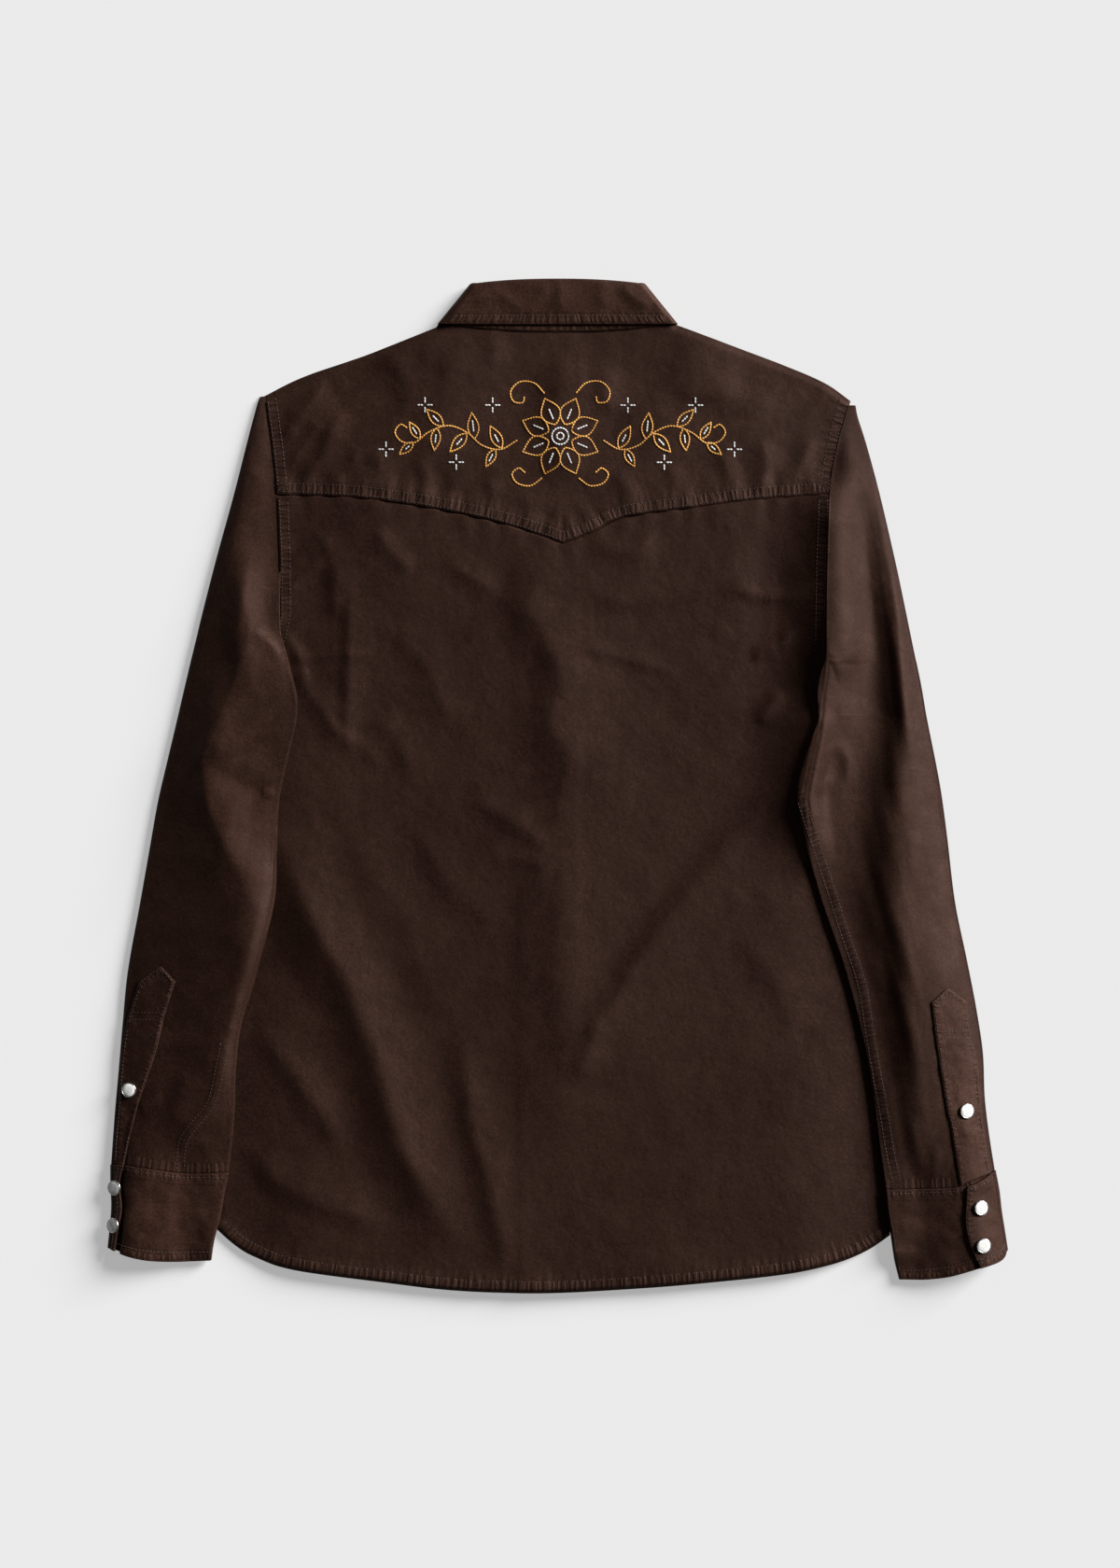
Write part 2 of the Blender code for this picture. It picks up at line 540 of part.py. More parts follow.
def make_fronts(finish):
    """The left front is the outer, lower one; the right front ends under the snap band."""
    front_rows = shares(26, *table_shares(BODY_SIDES))
    side = table_line(BODY_SIDES, "left_x", "left_y")
    hem = front_hem(HEM[0].x, BAND_RIGHT)
    middle = spline([hem(1.0), FRONT_NECK_LEFT[-1]])
    top = joined((SHOULDER_SHARE, spline(SHOULDER_LEFT)), (1.0, spline(FRONT_NECK_LEFT)))
    plan = blended(side, middle, hem, top)
    columns = shares(16, SHOULDER_SHARE)
    sheet_object("front_left", panel_rows(plan, columns, front_rows, front_left_z), finish)
    side = table_line(BODY_SIDES, "right_x", "right_y")
    hem = front_hem(UNDERLAP_LEFT, HEM[-1].x)
    middle = spline([hem(0.0), FRONT_NECK_RIGHT[0]])
    neck_share = 1.0 - SHOULDER_SHARE
    top = joined((neck_share, spline(FRONT_NECK_RIGHT)), (1.0, spline(SHOULDER_RIGHT)))
    plan = blended(middle, side, hem, top)
    columns = shares(16, neck_share)
    sheet_object("front_right", panel_rows(plan, columns, front_rows, front_right_z), finish)


def make_band(finish):
    """The snap band, on the outside of the left front."""
    low = front_hem(BAND_LEFT, BAND_RIGHT)
    left = spline([low(0.0), Place(BAND_LEFT, BAND_TOP_LEFT)])
    right = spline([low(1.0), Place(BAND_RIGHT, BAND_TOP_RIGHT)])
    plan = blended(left, right, low, spline([left(1.0), right(1.0)]))
    rows = panel_rows(plan, shares(2), shares(12), lambda x, y: ON_SNAPS_Z)
    sheet_object("front_placket", rows, finish)


def flap_foot(flap, drop=0.0):
    """The flap's lower edge, with two points, each under its snap."""
    quarter = (flap.right - flap.left) / 4

    def at(t):
        x = mix(flap.left, flap.right, t)
        away = abs((x - flap.left) % (2 * quarter) - quarter) / quarter
        return Vector((x, FLAP_LEFT.bottom + FLAP_NOTCH * away - drop))
    return at


def make_pockets(finish):
    """Each pocket ends at the foot of its flap, where they meet."""
    for pocket, flap in ((POCKET_LEFT, FLAP_LEFT), (POCKET_RIGHT, FLAP_RIGHT)):
        mouth = flap_foot(pocket, drop=SEAM_GAP)
        foot = spline([Place(pocket.left, pocket.bottom + POCKET_CORNER),
                       Place(pocket.left + POCKET_CORNER, pocket.bottom),
                       Place(pocket.right - POCKET_CORNER, pocket.bottom),
                       Place(pocket.right, pocket.bottom + POCKET_CORNER)])
        sides = spline([foot(0.0), mouth(0.0)]), spline([foot(1.0), mouth(1.0)])
        rows = panel_rows(blended(*sides, foot, mouth), shares(8), shares(4),
                          lambda x, y: WALL / 2)
        sheet_object(pocket.name, rows, finish)
        foot = flap_foot(flap)
        head = spline([Place(flap.left, flap.top), Place(flap.right, flap.top)])
        sides = spline([foot(0.0), head(0.0)]), spline([foot(1.0), head(1.0)])
        rows = panel_rows(blended(*sides, foot, head), shares(8), shares(3),
                          lambda x, y: ON_SNAPS_Z)
        sheet_object(flap.name, rows, finish)


# ---- sleeves -------------------------------------------------------------------------------

ACROSS_UPPER = [0.0, 0.06, 0.15, 0.26, 0.38, 0.5, 0.62, 0.74, 0.85, 0.94, 1.0]
ACROSS_BOTTOM = [0.0, 0.25, 0.5, 0.75, 1.0]
ACROSS_RETURN = [1.0, 0.5, 0.0]
TURNS = [0.25, 0.5, 0.75]          # points on an edge fold, from its top 0 to its underside 1
SEAM_BEND_REACH = 0.16             # how far up a sleeve the bend of its cuff seam is felt
EDGE_SHARE = 0.12                  # how much of the crown is left at a sleeve's edges
BODY_CLEARANCE = 3.6               # from the body's edge to the sleeve's lower layer
FOLD_INSET = 14.0                  # how near its edges a sleeve's folds have died away
HEAD_RAMP = 30.0                   # how far above the corner a sleeve comes down to the armhole


def crown_shape(across, peak):
    """The crown's share of its height, from the outer edge 0 to the inner edge 1."""
    if across < peak:
        rise = math.sin(0.5 * math.pi * across / peak) ** 1.2
    else:
        rise = 0.5 + 0.5 * math.cos(math.pi * (across - peak) / (1.0 - peak))
    return EDGE_SHARE + (1.0 - EDGE_SHARE) * rise


class Sleeve:
    """A sleeve laid flat: straight sections from its outer fold to its inner edge."""

    def __init__(self, name, side, sections, folds, seam):
        self.name, self.side, self.sections, self.folds = name, side, sections, folds
        self.seam = spline(seam)
        self.outer = table_curve(sections, "outer_x", "outer_y")
        self.inner = table_curve(sections, "inner_x", "inner_y")
        last = len(sections) - 1
        self.closed_to = UNDERARM_SECTION / last
        self.folded_to = LAST_FOLD_SECTION / last
        self.corner_y = sections[LAST_FOLD_SECTION + 1].inner_y

    def plan(self, u, v):
        straight = self.outer(v).lerp(self.inner(v), u)
        bend = self.seam(u) - self.outer(0.0).lerp(self.inner(0.0), u)
        return straight + bend * smooth(1.0 - v / SEAM_BEND_REACH)

    def width(self, v):
        return (self.inner(v) - self.outer(v)).length

    def edge_share(self, v, clearance):
        """Where the section crosses the body's edge, from its outer end 0 to its inner end 1."""
        u = 0.5
        for _ in range(6):
            y = self.plan(u, v).y
            x = side_x(y, self.side) + self.side * clearance
            u = (x - self.outer(v).x) / (self.inner(v).x - self.outer(v).x)
        return u

    def low_z(self, x, y):
        """The lower layer where it lies on the body, and on the floor beside the armhole."""
        return mix(over_body(x, y, self.side), WALL / 2, smooth((y - self.corner_y) / HEAD_RAMP))

    def crown(self, u, v):
        peak = table_value(self.sections, "crown_at", v)
        return table_value(self.sections, "crown", v) * crown_shape(u, peak)

    def upper_z(self, u, v):
        p = self.plan(u, v)
        from_edge = min(u, 1.0 - u) * self.width(v)
        folds = smooth(from_edge / FOLD_INSET) * fold_height(self.folds, p.x, p.y)
        at_armhole = smooth(2.0 * u - 1.0) * smooth((p.y - self.corner_y) / HEAD_RAMP)
        crown = self.crown(u, v) * (1.0 - at_armhole)
        return self.low_z(p.x, p.y) + SEPARATION + crown + folds

    def upper_point(self, u, v):
        p = self.plan(u, v)
        return Vector((p.x, p.y, self.upper_z(u, v)))

    def edge_radius(self, v):
        return (SEPARATION + self.crown(0.0, v)) / 2

    def turned(self, end, v, turn):
        """A point on the round of an edge fold, at the outer end 0 or the inner end 1."""
        radius = self.edge_radius(v)
        back = radius * (1.0 - math.sin(math.pi * turn)) / self.width(v)
        p = self.plan(abs(end - back), v)
        top = self.upper_z(float(end), v)
        return Vector((p.x, p.y, top - radius * (1.0 - math.cos(math.pi * turn))))

    def section(self, v):
        """One section, from the underarm edge over the top and back below; None is no cloth."""
        reach = self.edge_radius(v) / self.width(v)
        closed = v <= self.closed_to + 1e-6
        folded = v <= self.folded_to + 1e-6
        edge = self.edge_share(v, BODY_CLEARANCE)
        points = []
        hidden = self.edge_share(v, BODY_CLEARANCE if closed else 0.0)
        for share in reversed(ACROSS_RETURN):
            p = self.plan(mix(hidden, 1.0 - reach, share), v)
            points.append(Vector((p.x, p.y, self.low_z(p.x, p.y))) if folded else None)
        points += [self.turned(1, v, t) if folded else None for t in reversed(TURNS)]
        far = 1.0 - reach if folded else 1.0
        points += [self.upper_point(mix(reach, far, s), v) for s in reversed(ACROSS_UPPER)]
        points += [self.turned(0, v, t) for t in TURNS]
        for share in ACROSS_BOTTOM:
            p = self.plan(mix(reach, edge, share), v)
            z = self.low_z(p.x, p.y) if closed else WALL / 2
            points.append(Vector((p.x, p.y, z)))
        return points, closed


def make_sleeve(sleeve, finish):
    """The sleeve's sheet, whose two long edges meet along the underarm."""
    last = len(sleeve.sections) - 1
    stations = []
    for k in range(last):
        steps = 2 if k < UNDERARM_SECTION else 1
        stations += [(k + i / steps) / last for i in range(steps)]
    bm = bmesh.new()
    grid = []
    for v in stations + [1.0]:
        points, closed = sleeve.section(v)
        row = [bm.verts.new(p * MM) if p else None for p in (points[:-1] if closed else points)]
        if closed:
            row.append(row[0])
        grid.append(row)
    for low, high in zip(grid, grid[1:]):
        for k in range(len(low) - 1):
            corners = (low[k], low[k + 1], high[k + 1], high[k])
            if all(corners):
                bm.faces.new(corners)
    thickened(sleeve.name, bm, finish, WALL)


NEWTON_START = (0.3, 0.2)
NEWTON_ROUNDS = 20
PLAN_STEP = 0.001
NORMAL_STEP = 0.01


def at_place(surface, x, y):
    """The (u, v) of a surface that is above the place x, y."""
    u, v = NEWTON_START
    step = PLAN_STEP
    for _ in range(NEWTON_ROUNDS):
        p = surface.plan(u, v)
        du = (surface.plan(u + step, v) - p) / step
        dv = (surface.plan(u, v + step) - p) / step
        miss = Vector((x, y)) - p
        area = du.x * dv.y - du.y * dv.x
        u = min(max(u + (miss.x * dv.y - miss.y * dv.x) / area, 0.0), 1.0)
        v = min(max(v + (du.x * miss.y - du.y * miss.x) / area, 0.0), 1.0 - NORMAL_STEP)
    return u, v


def moved_out(surface, x, y, distance):
    """A point that far above a surface, square to it, and the surface's normal there."""
    u, v = at_place(surface, x, y)
    p = surface.upper_point(u, v)
    across = surface.upper_point(u + NORMAL_STEP, v) - p
    along = surface.upper_point(u, v + NORMAL_STEP) - p
    normal = across.cross(along).normalized()
    if normal.z < 0.0:
        normal.negate()
    return p + normal * distance, normal


def make_sleeve_placket(name, sleeve, rows, finish):
    """The pointed strip over a sleeve's opening, from its cuff to its point."""
    outer = table_curve(rows[:-2], "outer_x", "y")
    inner = table_curve(rows[:-2], "inner_x", "y")
    lines = [(outer(t), inner(t)) for t in shares(8)]
    lines += [(Vector((r.outer_x, r.y)), Vector((r.inner_x, r.y))) for r in rows[-2:]]
    sheet = []
    for a, b in lines:
        line = []
        for u in shares(4):
            p = a.lerp(b, u)
            line.append(moved_out(sleeve, p.x, p.y, WALL + PLACKET_GAP)[0])
        sheet.append(line)
    sheet_object(name, sheet, finish)


# ---- cuffs ---------------------------------------------------------------------------------

CUFF_SEPARATION = CUFF_WALL + PANEL_GAP
CUFF_EDGE_REACH = 4.0              # how far in the round of a cuff's outer fold starts
ACROSS_CUFF = 8
ACROSS_LAP = 4
CUFF_ROWS = 5


class Cuff:
    """A cuff laid flat: a band whose over end lies on its under end at the snaps."""

    def __init__(self, form):
        self.form = form
        self.outer = table_curve(form.rows, "outer_x", "outer_y")
        self.inner = table_curve(form.rows, "inner_x", "inner_y")
        self.seam, self.edge = spline(form.seam), spline(form.edge)

    def plan(self, u, v):
        straight = self.outer(v).lerp(self.inner(v), u)
        at_seam = self.seam(u) - self.outer(0.0).lerp(self.inner(0.0), u)
        at_edge = self.edge(u) - self.outer(1.0).lerp(self.inner(1.0), u)
        gap = Vector((0.0, -CUFF_SEAM_GAP))
        return straight + (at_seam + gap) * (1.0 - v) ** 2 + at_edge * v * v

    def width(self, v):
        return (self.inner(v) - self.outer(v)).length

    def lap_share(self, v):
        outer, inner = self.outer(v).x, self.inner(v).x
        return (table_value(self.form.rows, "lap_x", v) - outer) / (inner - outer)

    def low_z(self, p):
        return over_body(p.x, p.y, self.form.side, CUFF_WALL)

    def under_z(self, u, v):
        """The upper layer, which the over end lies on."""
        p = self.plan(u, v)
        crown = self.form.crown * crown_shape(u, self.form.crown_at)
        return self.low_z(p) + CUFF_SEPARATION + crown

    def upper_point(self, u, v):
        """The over end's middle surface."""
        p = self.plan(u, v)
        return Vector((p.x, p.y, self.under_z(u, v) + CUFF_WALL + LAY_GAP))

    def turned(self, end, v, turn, top):
        low = self.low_z(self.plan(float(end), v))
        radius = (top - low) / 2
        back = min(radius, CUFF_EDGE_REACH) * (1.0 - math.sin(math.pi * turn)) / self.width(v)
        p = self.plan(abs(end - back), v)
        return Vector((p.x, p.y, top - radius * (1.0 - math.cos(math.pi * turn))))

    def section(self, v):
        over_top = self.upper_point(0.0, v).z
        inner_top = self.under_z(1.0, v)
        outer_radius = (over_top - self.low_z(self.plan(0.0, v))) / 2
        inner_radius = (inner_top - self.low_z(self.plan(1.0, v))) / 2
        reach_out = min(outer_radius, CUFF_EDGE_REACH) / self.width(v)
        reach_in = inner_radius / self.width(v)
        points = [self.upper_point(mix(self.lap_share(v), reach_out, s), v) for s in shares(ACROSS_LAP)]
        points += [self.turned(0, v, t, over_top) for t in TURNS]
        for s in shares(ACROSS_CUFF):
            p = self.plan(mix(reach_out, 1.0 - reach_in, s), v)
            points.append(Vector((p.x, p.y, self.low_z(p))))
        points += [self.turned(1, v, t, inner_top) for t in reversed(TURNS)]
        under_end = self.form.under_inset / self.width(v)
        for s in shares(ACROSS_CUFF):
            u = mix(1.0 - reach_in, under_end, s)
            p = self.plan(u, v)
            points.append(Vector((p.x, p.y, self.under_z(u, v))))
        return points


def make_cuff(cuff, finish):
    rows = [cuff.section(v) for v in shares(CUFF_ROWS)]
    sheet_object(cuff.form.name, rows, finish, CUFF_WALL)


# ---- collar --------------------------------------------------------------------------------

NECK_BEND = 2.4                    # how late the back of the neck bends up towards the shoulders
ACROSS_BACK = 10
ALONG_FRONT = 6


def loop(level, front, ends=(None, None)):
    """One level of the collar as points from its left front end round the back to the right."""
    radius = (level.back_z - level.front_z) / 2
    ways = []
    for side, end in zip((-1, 1), ends):
        fold_x = COLLAR_CENTRE + side * (level.half_width - radius)
        way = []
        for turn in TURNS:
            x = fold_x + side * radius * math.sin(math.pi * turn)
            z = level.front_z + radius * (1.0 + math.cos(math.pi * turn))
            way.append(Vector((x, level.side_y, z)))
        route = [Place(fold_x, level.side_y)] + [Place(side * p.x, p.y) for p in front]
        run = spline(route + [end] if end else route)
        for t in shares(ALONG_FRONT):
            p = run(t)
            way.append(Vector((p.x, p.y, level.front_z)))
        ways.append(way)
    back = []
    for g in shares(ACROSS_BACK):
        across = mix(-1.0, 1.0, g)
        x = COLLAR_CENTRE + across * (level.half_width - radius)
        y = mix(level.back_y, level.side_y, abs(across) ** NECK_BEND)
        back.append(Vector((x, y, level.back_z)))
    return list(reversed(ways[0])) + back + ways[1]


def lapped(points):
    """The stand's right front end lifted on to its left one."""
    lifted = []
    for k, p in enumerate(points):
        on_right_front = k > len(points) // 2 and p.z < STAND_FOOT.front_z + 0.1
        rise = COLLAR_WALL + LAY_GAP if on_right_front else 0.0
        lifted.append(Vector((p.x, p.y, p.z + rise * smooth((LAP_START - p.x) / LAP_RUN))))
    return lifted


def make_collar(finish):
    foot = lapped(loop(STAND_FOOT, STAND_FOOT_FRONT, STAND_FOOT_ENDS))
    top = lapped(loop(STAND_TOP, STAND_TOP_FRONT, STAND_TOP_ENDS))
    rows = [[a.lerp(b, v) for a, b in zip(foot, top)] for v in shares(2)]
    sheet_object("collar_stand", rows, finish, COLLAR_WALL)
    seam = loop(FALL_SEAM, FALL_SEAM_FRONT, FALL_SEAM_ENDS)
    over = loop(FALL_TOP, FALL_SEAM_FRONT, FALL_SEAM_ENDS)
    edge = loop(FALL_EDGE, FALL_EDGE_FRONT)
    rows = [seam]
    for turn in TURNS:
        row = []
        for a, b, c in zip(seam, over, edge):
            middle = (a + b) / 2
            outward = over_direction(b, c) * (a - b).length / 2
            row.append(middle + (a - middle) * math.cos(math.pi * turn)
                       + outward * math.sin(math.pi * turn))
        rows.append(row)
    rows += [[b.lerp(c, v) for b, c in zip(over, edge)] for v in shares(4)]
    sheet_object("collar_fall", rows, finish, COLLAR_WALL)


def over_direction(top, edge):
    """The way the fold's round stands out, straight away from the free edge."""
    way = top - edge
    way.z = 0.0
    return way.normalized()


# ---- snaps ---------------------------------------------------------------------------------


def make_snap(name, centre, outward, finish):
    """A snap's cap: a low disc with a rounded rim on its outer face."""
    bm = bmesh.new()
    bmesh.ops.create_cone(bm, cap_ends=True, segments=SNAP_SIDES, radius1=SNAP_RADIUS * MM,
                          radius2=SNAP_RADIUS * MM, depth=SNAP_DEPTH * MM)
    rim = [e for e in bm.edges if min(v.co.z for v in e.verts) > 0.0]
    bmesh.ops.bevel(bm, geom=rim, offset=SNAP_BEVEL * MM, segments=1, affect="EDGES", profile=0.5,
                    material=-1)
    mesh = bpy.data.meshes.new(name)
    bm.to_mesh(mesh)
    bm.free()
    mesh.materials.append(finish)
    made = bpy.data.objects.new(name, mesh)
    made.location = centre * MM
    made.rotation_euler = outward.to_track_quat("Z", "Y").to_euler()
    bpy.context.scene.collection.objects.link(made)


def make_snaps(sleeves, cuffs, finish):
    down = Vector((0.0, 0.0, -1.0))
    for snap in FRONT_SNAPS + POCKET_SNAPS:
        make_snap(snap.name, Vector((snap.x, snap.y, SNAP_DEPTH / 2)), down, finish)
    collar_z = STAND_FOOT.front_z - COLLAR_WALL / 2 - LAY_GAP - SNAP_DEPTH / 2
    make_snap(COLLAR_SNAP.name, Vector((COLLAR_SNAP.x, COLLAR_SNAP.y, collar_z)), down, finish)
    lying = SNAP_GAP + SNAP_DEPTH / 2
    for snap, sleeve in zip(PLACKET_SNAPS, sleeves):
        height = WALL + PLACKET_GAP + WALL / 2 + lying
        make_snap(snap.name, *moved_out(sleeve, snap.x, snap.y, height), finish)
    for snap in CUFF_SNAPS:
        cuff = cuffs[0] if snap.x < 0 else cuffs[1]
        height = CUFF_WALL / 2 + lying
        make_snap(snap.name, *moved_out(cuff, snap.x, snap.y, height), finish)


cloth = material("brown twill", (0.045, 0.021, 0.016), 0.85)
pearl = material("pearl snap", (0.86, 0.85, 0.80), 0.25)
make_back(cloth)
make_yoke(cloth)
make_fronts(cloth)
make_band(cloth)
make_pockets(cloth)
make_collar(cloth)
sleeves = [Sleeve("sleeve_left", -1, SLEEVE_LEFT, SLEEVE_LEFT_FOLDS, CUFF_SEAM_LEFT),
           Sleeve("sleeve_right", 1, SLEEVE_RIGHT, SLEEVE_RIGHT_FOLDS, CUFF_SEAM_RIGHT)]
cuffs = [Cuff(form) for form in CUFFS]
for sleeve, cuff in zip(sleeves, cuffs):
    make_sleeve(sleeve, cloth)
    make_cuff(cuff, cloth)
make_sleeve_placket("sleeve_placket_left", sleeves[0], PLACKET_LEFT, cloth)
make_sleeve_placket("sleeve_placket_right", sleeves[1], PLACKET_RIGHT, cloth)
make_snaps(sleeves, cuffs, pearl)
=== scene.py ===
# Western snap shirt laid flat, front down and back up, on a plain pale floor.
# Sizes are in millimetres, and become metres where a mesh gets its points.

import math

import bmesh
import bpy
import numpy as np
from mathutils import Matrix, Vector


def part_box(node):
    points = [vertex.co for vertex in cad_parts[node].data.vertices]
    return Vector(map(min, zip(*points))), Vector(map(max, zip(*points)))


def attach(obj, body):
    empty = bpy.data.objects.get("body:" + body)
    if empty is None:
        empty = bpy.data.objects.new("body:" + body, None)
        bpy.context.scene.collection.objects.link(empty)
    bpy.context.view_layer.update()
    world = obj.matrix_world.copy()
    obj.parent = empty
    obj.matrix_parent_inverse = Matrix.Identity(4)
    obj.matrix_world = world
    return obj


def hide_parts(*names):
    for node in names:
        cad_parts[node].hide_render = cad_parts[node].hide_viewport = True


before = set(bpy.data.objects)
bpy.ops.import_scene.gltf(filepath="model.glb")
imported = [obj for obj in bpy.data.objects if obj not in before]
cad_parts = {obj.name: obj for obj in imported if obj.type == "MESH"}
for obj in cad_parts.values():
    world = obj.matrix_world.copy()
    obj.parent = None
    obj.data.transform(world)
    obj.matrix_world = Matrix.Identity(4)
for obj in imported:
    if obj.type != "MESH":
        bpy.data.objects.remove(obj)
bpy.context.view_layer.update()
mm = 0.001
print("frame loaded with", len(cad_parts), "nodes")

cloth = {"wall": 1.0, "foldedWall": 1.1, "collarWall": 1.5, "cuffWall": 1.8, "layerGap": 0.3}
snapLook = {"radius": 5.75, "depth": 1.6, "rim": 0.75, "segments": 32, "faceDownZ": 1.02}
onFloor = 0.6                                                # middle of cloth that lies on the floor
onSnaps = snapLook["depth"] + cloth["layerGap"] + onFloor    # middle of cloth that lies on its snaps


def smooth(t):
    t = np.clip(t, 0.0, 1.0)
    return t * t * (3.0 - 2.0 * t)


def mix(a, b, t):
    return a + (b - a) * t


def shares(count):
    return np.linspace(0.0, 1.0, count)


def lengthsAlong(points):
    return np.concatenate([[0.0], np.cumsum(np.linalg.norm(np.diff(points, axis=0), axis=1))])


def bend(p0, p1, p2, p3, s):
    return 0.5 * (2 * p1 + (p2 - p0) * s + (2 * p0 - 5 * p1 + 4 * p2 - p3) * s * s
                  + (3 * p1 - p0 - 3 * p2 + p3) * s ** 3)


def located(ends, t):
    # the stretch that each share of 0..1 falls in, and how far along that stretch it is
    target = np.clip(np.asarray(t, float), 0.0, 1.0) * ends[-1]
    k = np.clip(np.searchsorted(ends, target, side="right") - 1, 0, len(ends) - 2)
    return k, ((target - ends[k]) / (ends[k + 1] - ends[k]))[..., None]


def lengthCurve(points, ends=None):
    # a smooth curve through the points, whose share of 0..1 goes by length
    plain = np.array(points, float)
    pts = np.concatenate([[2 * plain[0] - plain[1]], plain, [2 * plain[-1] - plain[-2]]])
    ends = lengthsAlong(plain) if ends is None else ends

    def at(t):
        k, s = located(ends, t)
        return bend(pts[k], pts[k + 1], pts[k + 2], pts[k + 3], s)
    return at


def evenCurve(points):
    # the same, with one equal share for each stretch
    return lengthCurve(points, np.arange(float(len(points))))


def evenLine(points):
    # straight stretches of one equal share each
    pts = np.array(points, float)

    def at(t):
        k, s = located(np.arange(float(len(pts))), t)
        return mix(pts[k], pts[k + 1], s)
    return at


def straight(start, end):
    return lengthCurve([tuple(start), tuple(end)])


def chained(*stretches):
    # curves in a row, each given as (end of its share of 0..1, curve)
    def at(t):
        t = np.asarray(t, float)
        start, out = 0.0, np.zeros(t.shape + (2,))
        for end, curve in stretches:
            here = (t >= start) & ((t <= end) if end == stretches[-1][0] else (t < end))
            out[here] = curve((t[here] - start) / (end - start))
            start = end
        return out
    return at


def shifted(curve, y):
    return lambda t: curve(t) + np.array([0.0, y])


def panelPlan(left, right, bottom, top, reach=3.0):
    # a flat panel between four curves: u runs left to right and v bottom to top
    def at(u, v):
        u, v2 = u[..., None], v[..., None]
        low = bottom(u[..., 0]) - mix(left(0.0), right(0.0), u)
        high = top(u[..., 0]) - mix(left(1.0), right(1.0), u)
        return mix(left(v), right(v), u) + low * (1.0 - v2) ** reach + high * v2 ** reach
    return at


chance = np.random.default_rng(11)
noiseTable = chance.random((64, 64))


def unevenness(x, y, size, seed=0):
    # soft bumps between -1 and 1, about as wide as size
    gx, gy = np.asarray(x) / size + seed * 7.31, np.asarray(y) / size + seed * 3.77
    ix, iy = np.floor(gx).astype(int), np.floor(gy).astype(int)
    fx, fy = smooth(gx - ix), smooth(gy - iy)
    ix, iy, jx, jy = ix % 64, iy % 64, (ix + 1) % 64, (iy + 1) % 64
    low = mix(noiseTable[ix, iy], noiseTable[jx, iy], fx)
    high = mix(noiseTable[ix, jy], noiseTable[jx, jy], fx)
    return 2.0 * mix(low, high, fy) - 1.0


def rumpled(x, y, *bumps):
    # bumps of several sizes, each (height, size, seed)
    return sum(height * unevenness(x, y, size, seed) for height, size, seed in bumps)


def nearest(line, x, y):
    # for every point its nearest place along a line, in stretches and shares of one, how far away
    # that is, and the same with a sign for the side
    place, best, aside = np.zeros(x.shape), np.full(x.shape, 1e9), np.zeros(x.shape)
    for k, (a, b) in enumerate(zip(line, line[1:])):
        run = b - a
        share = np.clip(((x - a[0]) * run[0] + (y - a[1]) * run[1]) / (run @ run), 0.0, 1.0)
        dx, dy = x - a[0] - share * run[0], y - a[1] - share * run[1]
        away = np.hypot(dx, dy)
        closer = away < best
        best = np.where(closer, away, best)
        aside = np.where(closer, np.sign(run[0] * dy - run[1] * dx) * away, aside)
        place = np.where(closer, k + share, place)
    return place, best, aside


def fromLine(line, x, y):
    # (length along a line, distance from it) for every point
    place, away, _ = nearest(line, x, y)
    return np.interp(place, np.arange(len(line)), lengthsAlong(line)), away


def creaseHeight(creases, x, y):
    # each crease is (crest points, width on its left, width on its right, height, roundness)
    x, y = np.asarray(x, float), np.asarray(y, float)
    total = np.zeros(x.shape)
    for points, left, right, height, roundness in creases:
        reach = max(left, right) + roundness
        low, high = np.min(points, axis=0) - reach, np.max(points, axis=0) + reach
        near = (x > low[0]) & (x < high[0]) & (y > low[1]) & (y < high[1])
        if near.any():
            line = lengthCurve(points)(shares(6 * len(points)))
            place, _, aside = nearest(line, x[near], y[near])
            along = place / (len(line) - 1)
            width = np.where(aside > 0.0, left, right)
            slope = np.clip(1.0 - (np.hypot(aside, roundness) - roundness) / width, 0.0, 1.0)
            total[near] += height * smooth(np.minimum(along, 1.0 - along) / 0.28) * slope ** 1.8
    return total


# how the layers lie: what the fronts rest on, as (left, right, bottom, top, height)
snapLift, layerLift = 3.4, 1.5
pocketSpots = {"pocket_left": (-163.0, -57.0, 18.0, 105.0), "pocket_right": (49.0, 155.0, 18.0, 105.0)}
flapSpots = {"pocket_flap_left": (-165.0, -55.0, 105.0, 153.0),
             "pocket_flap_right": (47.0, 157.0, 105.0, 153.0)}
bandSpot = (-27.0, 9.0, -400.0, 285.0)
underFronts = [spot + (layerLift,) for spot in pocketSpots.values()]
underFronts += [spot + (snapLift,) for spot in flapSpots.values()]
underFronts += [bandSpot + (snapLift,), (-95.0, 96.0, 214.0, 360.0, snapLift)]
underlap = (-23.0, 9.0, -400.0, 285.0, layerLift)


def overSpot(spot, x, y, spread, ramp=13.0):
    # 1 over a spot and its spread, and falling to 0 round it
    left, right, bottom, top = spot[:4]
    across = np.minimum(x - left, right - x) + spread
    along = np.minimum(y - bottom, top - y) + spread
    return smooth(1.0 + across / ramp) * smooth(1.0 + along / ramp)


def frontLeftZ(x, y, spread=4.0):
    return onFloor + np.max([spot[4] * overSpot(spot, x, y, spread) for spot in underFronts], axis=0)


def frontRightZ(x, y, spread=4.0):
    return frontLeftZ(x, y, spread) + underlap[4] * overSpot(underlap, x, y, spread)


